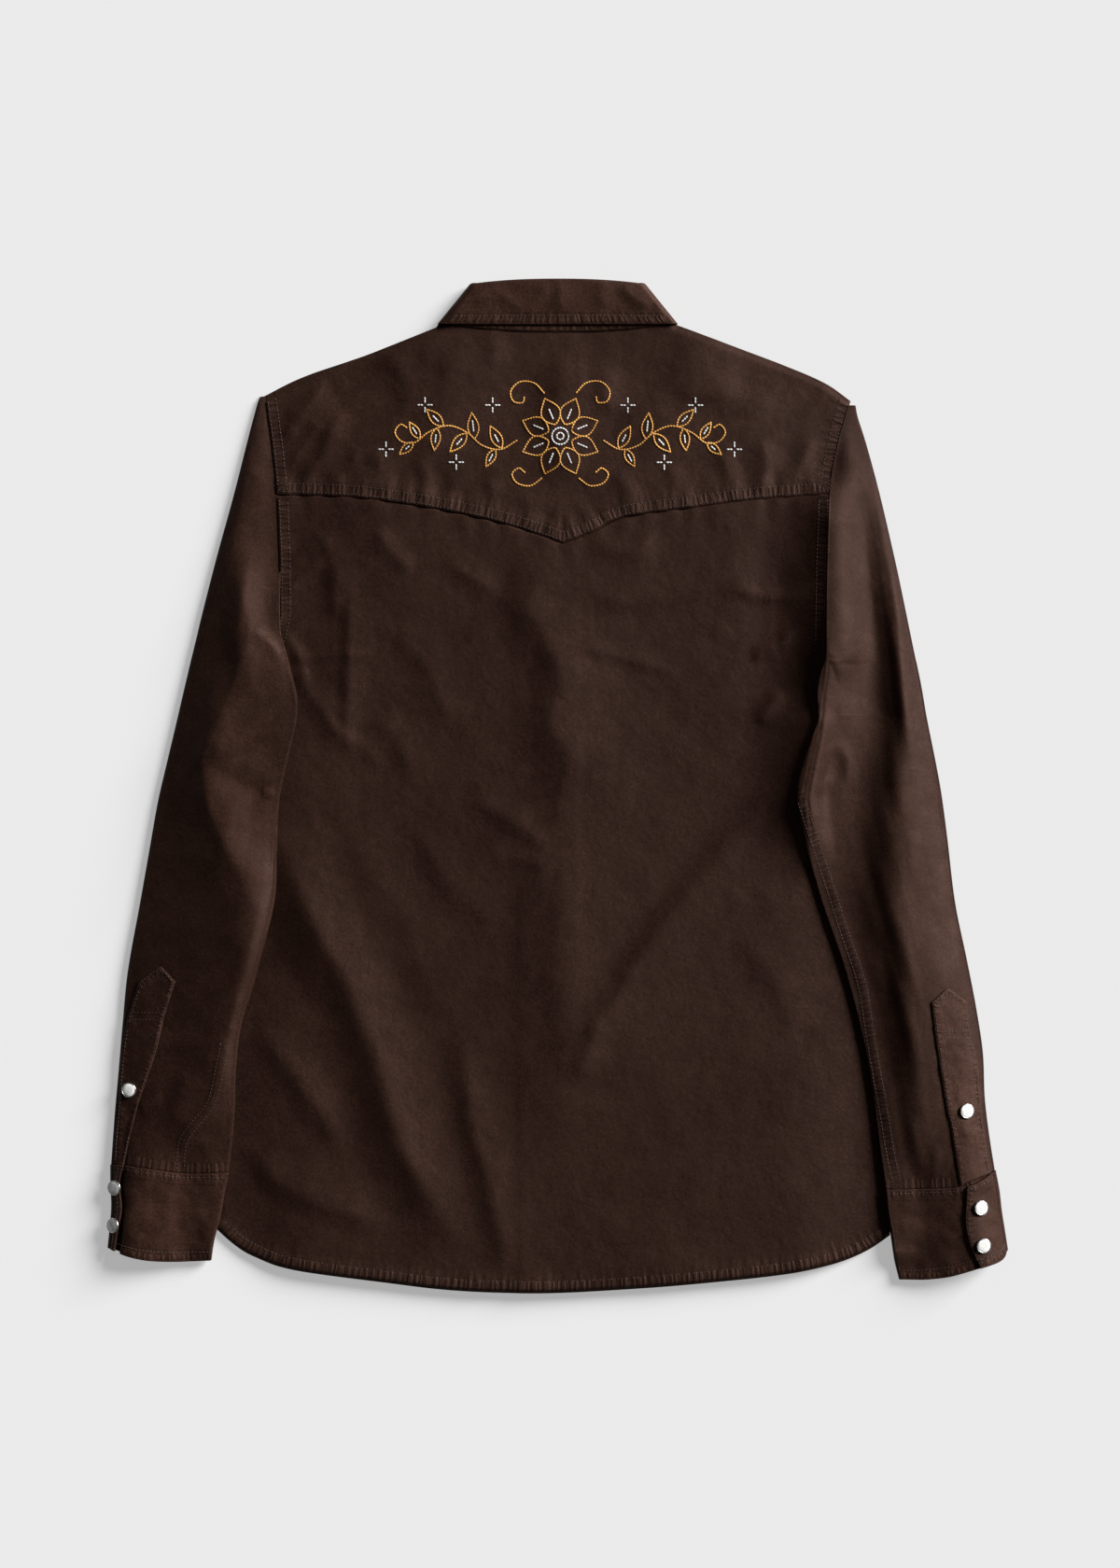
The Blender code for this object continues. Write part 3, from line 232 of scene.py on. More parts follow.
# the body's outline, from hem to shoulder: left x, left y, right x, right y
bodySides = [(-262.4, -342.0, 256.7, -347.0), (-262.4, -258.5, 255.2, -258.5),
             (-263.2, -150.5, 254.5, -150.5), (-264.6, -42.5, 254.5, -42.5),
             (-265.3, 47.5, 254.5, 47.5), (-240.8, 67.0, 236.5, 56.0),
             (-222.8, 92.9, 216.5, 74.0), (-214.2, 130.3, 207.0, 101.5),
             (-214.2, 173.5, 208.4, 173.5), (-216.4, 223.9, 210.6, 223.9),
             (-220.3, 262.0, 217.3, 262.0), (-225.7, 299.5, 226.4, 295.9)]
yokeSeamLeft = [(-216.4, 223.9), (-163.8, 221.8), (-124.2, 217.4), (-75.2, 208.8),
                (-36.4, 199.4), (4.7, 185.8)]
yokeSeamRight = [(4.7, 185.8), (28.4, 195.1), (52.2, 206.0), (108.4, 213.8), (151.6, 219.6),
                 (210.6, 223.9)]
shoulderLeft = [(-225.7, 299.5), (-194.8, 314.6), (-143.6, 332.2), (-91.1, 352.8)]
shoulderRight = [(92.5, 354.0), (128.5, 340.6), (175.3, 323.3), (207.0, 309.5), (226.4, 295.9)]
backNeck = [(-91.1, 352.8), (-45.0, 348.6), (0.7, 347.6), (46.0, 349.0), (92.5, 354.0)]
hemLine = [(-262.4, -342.0), (-247.3, -355.0), (-232.2, -363.6), (-203.4, -373.0),
           (-136.4, -382.3), (-78.1, -389.0), (-10.0, -391.0), (60.1, -387.6), (118.4, -382.8),
           (168.1, -377.5), (195.5, -373.0), (220.7, -366.5), (240.1, -358.0), (256.7, -347.0)]
leftSide = [row[:2] for row in bodySides]
rightSide = [row[2:] for row in bodySides]


def sideX(y, side):
    rows = leftSide if side < 0 else rightSide
    return np.interp(y, [r[1] for r in rows], [r[0] for r in rows])


def fromSides(x, y):
    return np.minimum(x - sideX(y, -1), sideX(y, 1) - x)


# crests of the back's folds; the first width is on the left of the way the points run
backCreases = [
    (((-15.5, 231.1), (-8.3, 101.5), (2.5, -28.1), (5.4, -172.1), (2.5, -330.5)), 120, 120, 2.6, 14),
    (((-32.0, 191.5), (-16.2, 160.6), (-21.2, 135.4), (-9.0, 114.5), (3.2, 82.1), (-4.0, 56.9),
      (-1.8, 38.9), (10.4, 20.2), (2.5, -12.2), (2.5, -51.1)), 74, 30, 3.6, 3),
    (((-4.7, -28.1), (1.1, -53.3), (4.0, -107.3), (5.4, -157.7), (6.8, -193.7), (2.5, -244.1),
      (-0.4, -287.3)), 60, 30, 2.3, 5),
    (((179.6, 2.2), (150.8, -28.1), (129.2, -51.1), (104.8, -79.9), (81.7, -108.7), (61.6, -137.5),
      (42.1, -170.6), (18.4, -199.4), (2.5, -229.7)), 66, 17, 2.9, 3),
    (((-226.4, -6.5), (-213.5, -42.5), (-197.6, -82.1), (-181.1, -118.1), (-163.1, -149.0),
      (-151.6, -180.7), (-138.6, -211.7), (-128.5, -251.3), (-118.4, -280.1), (-101.2, -312.5),
      (-82.4, -348.5), (-65.9, -384.5)), 44, 34, 6.2, 4),
    (((-74.5, -168.5), (-70.9, -208.1), (-65.9, -258.5), (-53.6, -303.1), (-43.6, -344.9),
      (-36.4, -391.7)), 30, 18, 2.7, 3),
    (((-245.2, -269.3), (-216.4, -303.1), (-188.3, -319.0), (-159.5, -329.8),
      (-127.1, -346.3)), 24, 15, 2.0, 3),
    (((-230.8, -179.3), (-213.5, -208.1), (-197.6, -229.7), (-176.0, -262.1),
      (-161.6, -287.3)), 24, 16, 2.0, 3),
    (((-157.3, 166.3), (-159.5, 130.3), (-160.2, 87.1), (-161.6, 43.9), (-158.8, 7.9)), 20, 9, 1.4, 1),
    (((-74.5, -3.6), (-55.1, -15.1), (-32.0, -29.5), (1.1, -54.0)), 20, 16, 1.7, 2),
    (((-55.1, -59.8), (-27.7, -56.9), (1.1, -64.1)), 12, 10, 1.2, 1),
    (((204.1, 153.4), (182.5, 144.7), (157.3, 144.7), (139.3, 149.0), (124.9, 139.0)), 10, 12, 1.6, 1),
    (((182.5, 121.7), (172.4, 108.7), (156.6, 101.5), (152.3, 90.0)), 10, 10, 2.0, 1),
    (((175.3, 72.7), (163.8, 61.2), (155.2, 43.9)), 12, 12, 1.4, 2),
    (((168.1, 173.5), (132.1, 160.6), (88.9, 144.7), (45.7, 141.8), (2.5, 154.8)), 14, 18, 1.4, 3),
    (((99.7, 85.7), (67.3, 92.9), (38.5, 101.5), (6.8, 108.7)), 8, 12, 0.8, 2),
    (((74.5, 196.6), (60.1, 180.7), (24.1, 183.6)), 14, 14, 1.2, 2),
    (((-191.9, 202.3), (-176.0, 180.7), (-168.8, 153.4), (-173.2, 124.6)), 18, 16, 1.3, 2),
    (((-213.5, 144.7), (-194.8, 162.0), (-176.0, 173.5)), 12, 10, 1.4, 1),
    (((-213.5, 121.7), (-200.5, 101.5), (-191.9, 72.7)), 10, 10, 1.4, 1),
    (((-142.9, 202.3), (-127.1, 179.3), (-108.4, 162.0)), 14, 12, 1.4, 2),
    (((-213.5, 101.5), (-191.9, 72.7), (-176.0, 51.1), (-161.6, 20.9)), 16, 14, 1.3, 2),
    (((-91.1, 176.4), (-65.2, 159.1), (-43.6, 144.7)), 16, 14, 1.3, 2),
    (((-134.3, 130.3), (-108.4, 101.5), (-91.1, 71.3), (-83.9, 36.7)), 22, 16, 1.2, 3),
    (((-145.1, 58.3), (-119.9, 29.5), (-109.1, -6.5)), 18, 16, 1.2, 3),
    (((-104.0, -28.1), (-91.1, -64.1), (-69.5, -89.3), (-37.1, -103.7)), 22, 16, 1.2, 3),
    (((34.9, -172.1), (25.6, -200.9), (12.6, -229.7)), 16, 12, 1.4, 2),
    (((136.4, -107.3), (166.7, -150.5), (186.8, -200.9)), 30, 22, 1.2, 4),
    (((-177.5, -28.1), (-145.1, -64.1), (-112.7, -114.5), (-91.1, -172.1)), 30, 24, 0.9, 4),
    (((31.3, -382.3), (74.5, -370.8), (124.9, -367.9)), 14, 12, 1.2, 3),
    (((-212.0, 113.0), (-193.3, 128.9), (-176.0, 139.0), (-157.3, 143.3)), 8, 7, 0.9, 1.5),
    (((-210.6, 101.5), (-189.0, 97.2), (-166.0, 101.5), (-138.6, 98.6)), 7, 8, 0.8, 1.5),
    (((-206.3, 164.9), (-196.2, 177.8), (-181.8, 186.5)), 7, 7, 0.8, 1.5),
    (((-180.4, 55.4), (-164.5, 36.7), (-144.4, 25.2), (-132.8, 6.5)), 8, 8, 0.7, 1.5),
]
armholeRise = {"left": 0.8, "right": 17.5, "leftWidth": 34.0, "rightWidth": 58.0, "underSleeve": 20.0,
               "rightSeam": [(196.0, -60.0), (190.0, -10.0), (200.0, 40.0), (207.0, 101.5),
                             (222.0, 300.0)]}


def riseToArmhole(x, y):
    # the back comes up towards both armholes, most at the right one
    left = smooth((236.0 - y) / 60.0) * smooth((y - 30.0) / 80.0) * armholeRise["left"]
    right = smooth((252.0 - y) / 52.0) * smooth((y + 76.0) / 70.0) * armholeRise["right"]
    right = right * (1.0 - 0.32 * smooth((112.0 - y) / 50.0))
    seamX, seamY = zip(*armholeRise["rightSeam"])
    seamRight = np.interp(y, seamY, seamX)
    nearLeft = np.clip(1.0 - (x - np.maximum(sideX(y, -1), -222.0)) / armholeRise["leftWidth"], 0.0, 1.0)
    nearRight = np.clip(1.0 - (seamRight - x) / armholeRise["rightWidth"], 0.0, 1.0)
    # under the sleeve the rise dies away again
    beyond = smooth(1.0 - (x - seamRight + 1.0) / armholeRise["underSleeve"])
    return left * nearLeft ** 1.8 + right * nearRight ** 1.9 * beyond


bodyDome = {"base": 2.8, "height": 4.9, "fromSide": 78.0, "softness": 0.6,
            "neck": (-95.0, 96.0, 240.0, 420.0), "neckRamp": 74.0, "neckShare": 0.75}


def bodyLevel(x, y):
    # the back bridges what lies under it in one soft rise from its sides
    shoulder = (352.0 - y) * 0.94 - np.abs(x - 0.7) * 0.36 + 34.0
    dome = smooth(np.minimum(fromSides(x, y), np.maximum(shoulder, 0.0)) / bodyDome["fromSide"])
    neck = overSpot(bodyDome["neck"], x, y, 6.0, bodyDome["neckRamp"])
    soft = bodyDome["base"] + bodyDome["height"] * np.maximum(dome, bodyDome["neckShare"] * neck)
    needed = frontRightZ(x, y, 6.0) + 1.6
    return soft + bodyDome["softness"] * np.logaddexp(0.0, (needed - soft) / bodyDome["softness"])


backMarks = {"snaps": [(-6.1, -150.5), (-11.2, -244.8), (-11.9, -78.5), (-132.1, 118.0), (127.1, 116.6),
                       (137.2, -87.1)], "snapHeight": 0.4, "bandEdge": -33.0, "bandHeight": 0.42}


def backZ(x, y):
    level = bodyLevel(x, y) + creaseHeight(backCreases, x, y) + riseToArmhole(x, y)
    for sx, sy in backMarks["snaps"]:       # snaps of the front that print through
        level = level + backMarks["snapHeight"] * smooth(2.0 - np.hypot(x - sx, y - sy) / 4.6)
    fromBand = x - backMarks["bandEdge"]
    bandEdge = smooth(fromBand / 8.0) - smooth((fromBand - 6.0) / 36.0)
    level = level + backMarks["bandHeight"] * bandEdge * smooth((-40.0 - y) / 60.0)
    return level + rumpled(x, y, (0.4, 46.0, 0), (0.26, 21.0, 3), (0.1, 9.0, 7))


yokeCreases = [
    (((-69.5, 352.1), (-78.1, 323.3), (-88.2, 295.9), (-96.8, 267.1), (-108.4, 231.1)), 60, 56, 3.0, 5),
    (((-0.4, 337.7), (6.8, 317.5), (1.1, 298.8), (-3.2, 281.5), (2.5, 252.7),
      (-1.8, 223.9)), 44, 26, 2.2, 3),
    (((90.4, 352.1), (109.1, 323.3), (139.3, 294.5), (176.8, 267.1)), 40, 34, 1.8, 5),
    (((-213.5, 261.4), (-197.6, 284.4), (-187.6, 297.4), (-177.5, 314.6)), 12, 16, 1.8, 2),
    (((-200.5, 231.1), (-181.8, 251.3), (-173.2, 272.9), (-161.6, 291.6)), 12, 16, 1.8, 2),
    (((-207.7, 241.2), (-190.4, 267.1), (-180.4, 285.8)), 8, 10, 1.1, 2),
    (((-176.0, 228.2), (-161.6, 242.6), (-150.1, 261.4)), 10, 12, 1.0, 2),
    (((-141.5, 222.5), (-137.2, 241.2), (-140.0, 261.4)), 10, 12, 1.2, 2),
    (((-104.0, 215.3), (-101.9, 234.0), (-105.5, 255.6)), 9, 11, 1.1, 2),
    (((-55.1, 202.3), (-49.3, 222.5), (-52.2, 241.2)), 10, 11, 1.1, 2),
    (((-26.3, 192.2), (-22.0, 211.0), (-26.3, 228.2)), 9, 10, 1.0, 2),
    (((48.6, 203.8), (51.5, 223.9), (47.2, 245.5)), 10, 12, 1.0, 2),
    (((86.0, 212.4), (90.4, 231.1), (86.0, 249.8)), 10, 11, 1.0, 2),
    (((126.4, 218.2), (130.7, 238.3), (126.4, 259.9)), 11, 12, 1.2, 2),
    (((155.2, 222.5), (160.9, 245.5), (155.2, 270.0)), 11, 12, 1.2, 2),
    (((179.6, 226.8), (188.3, 248.4), (198.4, 272.9)), 12, 12, 1.4, 2),
    (((74.5, 317.5), (103.3, 303.1), (146.5, 295.9), (189.7, 291.6)), 18, 16, 1.2, 4),
    (((42.8, 327.6), (37.1, 303.1), (45.7, 280.1)), 14, 14, 1.1, 3),
    (((-141.5, 337.7), (-124.2, 323.3), (-112.7, 300.2), (-121.3, 280.1)), 20, 16, 1.2, 4),
    (((-55.1, 352.1), (-47.9, 334.8), (-52.2, 317.5)), 14, 12, 1.0, 3),
]


def yokeZ(x, y):
    level = bodyLevel(x, y) + creaseHeight(yokeCreases, x, y) + riseToArmhole(x, y)
    return level + rumpled(x, y, (0.35, 38.0, 5), (0.24, 17.0, 8), (0.1, 8.0, 9))


print("layers and folds laid out")


class Net:
    # short calls that add nodes to one tree and wire them up
    def __init__(self, tree):
        self.nodes, self.links = tree.nodes, tree.links

    def feed(self, node, inputs):
        # each input gets a link, a colour of three numbers or a plain value
        for key, value in inputs.items():
            if isinstance(value, bpy.types.NodeSocket):
                self.links.new(value, node.inputs[key])
            else:
                node.inputs[key].default_value = (*value, 1.0) if isinstance(value, tuple) else value

    def node(self, kind, inputs=None, **settings):
        made = self.nodes.new("ShaderNode" + kind)
        for setting, value in settings.items():
            setattr(made, setting, value)
        self.feed(made, inputs or {})
        return made

    def calc(self, operation, *values):
        return self.node("Math", dict(enumerate(values)), operation=operation).outputs[0]

    def plus(self, first, *others):
        for value in others:
            first = self.calc("ADD", first, value)
        return first

    def times(self, a, b):
        return self.calc("MULTIPLY", a, b)

    def ramped(self, value, low, high, outLow=0.0, outHigh=1.0):
        ends = {"Value": value, "From Min": low, "From Max": high, "To Min": outLow, "To Max": outHigh}
        return self.node("MapRange", ends, interpolation_type="SMOOTHSTEP").outputs["Result"]

    def noise(self, vector, scale, stretch=(1, 1, 1), detail=2.0, roughness=0.5, warp=0.0):
        place = self.node("Mapping", {"Vector": vector, "Scale": [scale * s for s in stretch]})
        return self.node("TexNoise", {"Vector": place.outputs["Vector"], "Scale": 1.0, "Detail": detail,
                                      "Roughness": roughness, "Distortion": warp}).outputs["Fac"]

    def mixed(self, factor, a, b):
        return self.node("Mix", {"Factor": factor, "A": a, "B": b}, data_type="RGBA").outputs["Result"]

    def bump(self, height, distance):
        return self.node("Bump", {"Height": height, "Distance": distance * mm}).outputs["Normal"]


def newGroup(name, inputs, outputs):
    group = bpy.data.node_groups.new(name, "ShaderNodeTree")
    group.interface.new_socket("Vector", in_out="INPUT", socket_type="NodeSocketVector")
    for label, value in inputs.items():
        socket = group.interface.new_socket(label, in_out="INPUT", socket_type="NodeSocketFloat")
        socket.default_value = value
    for label in outputs:
        group.interface.new_socket(label, in_out="OUTPUT", socket_type="NodeSocketFloat")
    nodes = group.nodes
    return group, Net(group), nodes.new("NodeGroupInput").outputs, nodes.new("NodeGroupOutput")


def newMaterial(name):
    made = bpy.data.materials.new(name)
    made.use_nodes = True
    net = Net(made.node_tree)
    return made, net, net.nodes["Principled BSDF"], net.node("TexCoord").outputs["Object"]


def makeTwillWeave():
    # diagonal ribs with single threads across them; the vector is the cloth's UV in metres
    group, net, given, out = newGroup("twillWeave", {"Pitch": 0.00062}, ["Height", "Slub"])
    where = given["Vector"]
    split = net.node("SeparateXYZ", {0: where}).outputs
    x, y = (net.calc("DIVIDE", split[k], given["Pitch"]) for k in (0, 1))
    wobble = net.noise(where, 240.0, detail=1.0)
    rib = net.calc("SINE", net.plus(net.times(x, 3.0), net.times(y, 4.6), net.times(wobble, 2.2)))
    thread = net.calc("SINE", net.times(y, 12.566))
    along, across = (net.noise(where, 900.0, stretch) for stretch in ((1.0, 0.06, 1.0), (0.06, 1.0, 1.0)))
    net.feed(out, {"Height": net.plus(net.times(rib, 0.36), net.times(thread, 0.14), 0.5),
                   "Slub": net.times(net.plus(along, across), 0.5)})
    return group


def makeDyeMottle():
    # uneven garment dye: clouds, grain and worn flecks; and fine crumpling
    group, net, given, out = newGroup("dyeMottle", {}, ["Cloud", "Grain", "Fleck", "Crumple"])
    where = given["Vector"]
    broad, small = (net.noise(where, scale, detail=3.0, roughness=0.6) for scale in (14.0, 75.0))
    grain = net.noise(where, 560.0, roughness=0.85)
    fleck = net.noise(where, 700.0, roughness=0.7)
    soft = net.noise(where, 62.0, detail=3.0, roughness=0.55, warp=0.2)
    crisp = net.noise(where, 210.0, roughness=0.6)
    net.feed(out, {"Cloud": net.ramped(net.plus(net.times(broad, 0.6), net.times(small, 0.4)), 0.36, 0.64),
                   "Grain": net.ramped(grain, 0.36, 0.64), "Fleck": net.ramped(fleck, 0.62, 0.80),
                   "Crumple": net.plus(net.times(soft, 0.85), net.times(crisp, 0.15))})
    return group


def makeSeamRoping():
    # the band beside a stitched seam, drawn up into small even puckers, with longer ones running out of it;
    # the vector is (along, in from the seam) in mm. Its colour marks are wear and painted highlight on the
    # puckers' crests and at the seam's edge, and painted shade along the stitch rows and between the
    # puckers.
    group, net, given, out = newGroup("seamRoping", {"Width": 10.0, "Fade": 9.0, "Pitch": 4.8},
                                      ["Height", "WearAndHighlight", "Shade"])
    where = given["Vector"]
    along, inwards, _ = net.node("SeparateXYZ", {0: where}).outputs
    wander = net.noise(where, 0.11, (1.0, 0.1, 1.0))
    turn = net.plus(net.calc("DIVIDE", along, given["Pitch"]), net.times(wander, 2.4))
    wave = net.calc("SINE", net.times(turn, 6.2832))
    depth = net.ramped(net.noise(where, 0.07, (1.0, 0.3, 1.0)), 0.3, 0.6, 0.45, 1.0)
    inner = net.calc("SUBTRACT", given["Width"], inwards)
    band = net.times(net.ramped(inner, 0.2, 2.0), net.ramped(inwards, 0.6, 2.2))
    bars = net.times(net.times(net.ramped(wave, -0.5, 0.9), depth), band)
    longTicks = net.noise(where, 0.17, (1.0, 0.08, 1.0), 1.0)
    fade = net.plus(net.calc("DIVIDE", inner, given["Fade"]), 1.0)
    tails = net.times(net.times(net.ramped(longTicks, 0.4, 0.66), 0.55), net.ramped(fade, 0.0, 1.0))
    fromRows = [net.calc("ABSOLUTE", net.calc("SUBTRACT", inwards, row)) for row in (2.2, 8.6)]
    rows = [net.ramped(fromRow, 1.0, 0.2) for fromRow in fromRows]
    net.feed(out, {"Height": net.plus(bars, tails),
                   "WearAndHighlight": net.plus(bars, net.times(net.ramped(inwards, 1.6, 0.4), 0.4)),
                   "Shade": net.times(net.plus(*rows), net.ramped(wave, 0.6, -0.4, 0.3, 1.0))})
    return group


twillWeave, dyeMottle, seamRoping = makeTwillWeave(), makeDyeMottle(), makeSeamRoping()

twillColours = {
    "deep": (0.0130, 0.0052, 0.0033),
    "body": (0.0200, 0.0084, 0.0054),
    "faded": (0.0320, 0.0145, 0.0098),
    "paleWearAndHighlight": (0.0640, 0.0330, 0.0245),
    "dark": (0.0060, 0.0024, 0.0016),
}


def makeTwill(name, toneAndPaintedLight=0.5, roping=1.0, crumple=0.5, width=10.0, fade=9.0):
    made, net, shader, where = newMaterial(name)
    threads = net.node("UVMap", uv_map="threads").outputs["UV"]
    seam = net.node("Attribute", attribute_name="seam").outputs["Vector"]
    weave = net.node("Group", {"Vector": threads}, node_tree=twillWeave).outputs
    dye = net.node("Group", {"Vector": where}, node_tree=dyeMottle).outputs
    rope = net.node("Group", {"Vector": seam, "Width": width, "Fade": fade}, node_tree=seamRoping).outputs
    deep, body, faded = (np.array(twillColours[shade]) for shade in ("deep", "body", "faded"))
    colour = net.mixed(dye["Cloud"], tuple(mix(deep, body, toneAndPaintedLight)), tuple(mix(body, faded, toneAndPaintedLight)))
    colour = net.mixed(net.times(weave["Slub"], 0.22), colour, twillColours["faded"])
    grain = net.ramped(dye["Grain"], 0.0, 1.0, 0.68, 1.20)
    colour = net.node("VectorMath", {0: colour, "Scale": grain}, operation="SCALE").outputs[0]
    # painted shade: the hollows between the weave's ribs are darkened
    weaveValleyShade = net.ramped(weave["Height"], 0.42, 0.1, 0.0, 0.6)
    colour = net.mixed(weaveValleyShade, colour, twillColours["dark"])
    colour = net.mixed(net.times(dye["Fleck"], 0.35), colour, twillColours["paleWearAndHighlight"])
    # wear and painted highlight on the seam puckers, then painted shade along their stitch rows and between
    # them
    colour = net.mixed(net.times(rope["WearAndHighlight"], 0.27 * roping), colour, twillColours["paleWearAndHighlight"])
    colour = net.mixed(net.times(rope["Shade"], 0.55 * roping), colour, twillColours["dark"])
    height = net.plus(net.times(weave["Height"], 0.10), net.times(dye["Crumple"], crumple),
                      net.times(rope["Height"], 0.34 * roping))
    net.feed(shader, {"Base Color": colour, "Roughness": net.ramped(dye["Crumple"], 0.3, 0.7, 0.46, 0.58),
                      "Specular IOR Level": 0.18, "Specular Tint": (1.0, 0.60, 0.48),
                      "Normal": net.bump(height, 1.0)})
    return made


# The collar, cuffs and yoke get lighter tones than the back's: painted light, standing in for the light
# those parts catch.
backTwill = makeTwill("backTwill", 0.42, 1.0, 0.85)
yokeTwill = makeTwill("yokeTwill", 0.92, 1.0, 0.85)
sleeveTwill = makeTwill("sleeveTwill", 0.75, 0.8, 0.7)
collarTwill = makeTwill("collarTwill", 2.6, 0.9, 0.5, 8.0, 5.0)
cuffTwill = makeTwill("cuffTwill", 1.7, 0.9, 0.5, 6.0, 5.0)
frontTwill = makeTwill("frontTwill", 0.4, 0.9, 0.6)
print("cloth materials ready")


def meshFrom(bm, name):
    mesh = bpy.data.meshes.new(name)
    bm.to_mesh(mesh)
    bm.free()
    return mesh


def inScene(name, data):
    made = bpy.data.objects.new(name, data)
    bpy.context.scene.collection.objects.link(made)
    return made


def finishPiece(name, mesh, finishes, node):
    mesh.shade_smooth()
    made = inScene(name, mesh)
    for finish in finishes:
        mesh.materials.append(finish)
    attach(made, "root")
    if node:
        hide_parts(node)
    return made


def sheetPiece(node, finish, across, along, place, cut, wall=cloth["wall"]):
    # a grid whose points place() gives, with the threads' run, its seams and which points are kept
    bm = bmesh.new()
    bmesh.ops.create_grid(bm, x_segments=len(across) - 1, y_segments=len(along) - 1, size=1.0)
    mesh = meshFrom(bm, node + "_cloth")
    points, threads, seam, *kept = place(np.tile(across, len(along)), np.repeat(along, len(across)))
    mesh.vertices.foreach_set("co", (points * mm).ravel())
    corners = np.zeros(len(mesh.loops), dtype=int)
    mesh.loops.foreach_get("vertex_index", corners)
    mesh.uv_layers.new(name="threads").data.foreach_set("uv", (threads[corners] * mm).ravel())
    marks = mesh.attributes.new("seam", "FLOAT_VECTOR", "POINT")
    marks.data.foreach_set("vector", np.column_stack([seam, np.zeros(len(seam))]).ravel())
    bm = bmesh.new()
    bm.from_mesh(mesh)
    if kept:
        bm.verts.ensure_lookup_table()
        bmesh.ops.delete(bm, geom=[bm.verts[k] for k in np.flatnonzero(~kept[0])], context="VERTS")
        bmesh.ops.remove_doubles(bm, verts=bm.verts, dist=0.02 * mm)
    bmesh.ops.recalc_face_normals(bm, faces=bm.faces)
    bm.to_mesh(mesh)
    bm.free()
    made = finishPiece(node + "_cloth", mesh, [finish], node)
    thick = made.modifiers.new("wall", "SOLIDIFY")
    thick.thickness, thick.offset = wall * mm, 0.0
    print(made.name, len(mesh.polygons), "faces")


noSeam = 99.0        # in from a seam, where there is none


def seamMarks(*seams):
    # for each point the nearest seam, as (along it, in from it); each seam is two lists
    marks = np.full((len(seams[0][0]), 2), noSeam)
    for along, inwards in seams:
        nearer = inwards < marks[:, 1]
        marks[nearer] = np.column_stack([along, inwards])[nearer]
    return marks


def steps(count, *knots):
    # evenly spread shares of 0..1 that also hit the knots
    ends = [0.0] + sorted(knots) + [1.0]
    values = [0.0]
    for a, b in zip(ends, ends[1:]):
        n = max(1, round(count * (b - a)))
        values += [mix(a, b, (i + 1) / n) for i in range(n)]
    return np.array(values)


def knots(count):
    return [k / count for k in range(1, count)]


def laidOut(plan, height, seams):
    # places a sheet by its plan, its height at each place and its seam lines
    def place(u, v):
        flat = plan(u, v)
        x, y = flat[:, 0], flat[:, 1]
        marks = seamMarks(*[fromLine(line, x, y) for line in seams])
        return np.column_stack([x, y, height(x, y)]), flat, marks
    return place


yokePointShare = (4.7 + 216.4) / 427.0
neckShares = (0.30, 0.735)
yokeSeam = chained((yokePointShare, lengthCurve(yokeSeamLeft)), (1.0, lengthCurve(yokeSeamRight)))
yokeSeamLine = yokeSeam(shares(60))
hemCurve = lengthCurve(hemLine)
hemPath = hemCurve(shares(60))
armholeLines = [evenLine(side[7:])(shares(24)) for side in (leftSide, rightSide)]
backPlan = panelPlan(evenLine(leftSide[:10]), evenLine(rightSide[:10]), hemCurve, shifted(yokeSeam, -0.1))
backPanel = {"columns": 206, "rows": 226, "hemWidth": 8.6, "hemRise": 0.7, "hemWave": 0.28, "hemRoll": 0.8,
             "sideRoll": 1.1, "yokePull": 0.25, "flat": (0.535, 0.640), "area": 0.288}


def backSurface(x, y):
    along, inwards = fromLine(hemPath, x, y)
    z = backZ(x, y) + backPanel["hemRise"] * smooth((backPanel["hemWidth"] + 1.0 - inwards) / 2.2)
    z = z - backPanel["hemRoll"] * smooth(1.0 - inwards / 2.4)
    wave = np.sin(along * 0.93 + 2.2 * unevenness(along, 0 * along, 14.0, 2))
    z = z + backPanel["hemWave"] * wave * smooth(1.0 - np.abs(inwards - 9.0) / 14.0)
    z = z - backPanel["sideRoll"] * smooth(1.0 - fromSides(x, y) / 7.0) * smooth((60.0 - y) / 20.0)
    fromYoke = fromLine(yokeSeamLine, x, y)[1]
    pull = np.sin(x * 0.30 + 2.5 * unevenness(x, 0 * x, 31.0, 4)) * smooth(1.0 - fromYoke / 26.0)
    return z + backPanel["yokePull"] * (pull - smooth(1.0 - fromYoke / 4.0))


sheetPiece("back", backTwill, steps(backPanel["columns"], yokePointShare),
           steps(backPanel["rows"], *knots(9)),
           laidOut(backPlan, backSurface, [hemPath, *armholeLines]), backPanel)

yokePanel = {"columns": 226, "rows": 92, "edgeRise": 0.45, "edgeRoll": 0.35, "pull": 0.38,
             "shoulderRoll": 1.5, "flat": (0.455, 0.172), "area": 0.0560}
shoulders = [lengthCurve(shoulderLeft), lengthCurve(shoulderRight)]
yokeTop = chained((neckShares[0], shoulders[0]), (neckShares[1], shifted(lengthCurve(backNeck), 2.0)),
                  (1.0, shoulders[1]))
yokePlan = panelPlan(evenLine(leftSide[9:]), evenLine(rightSide[9:]), yokeSeam, yokeTop, reach=1.0)
shoulderLines = [shoulder(shares(20)) for shoulder in shoulders]


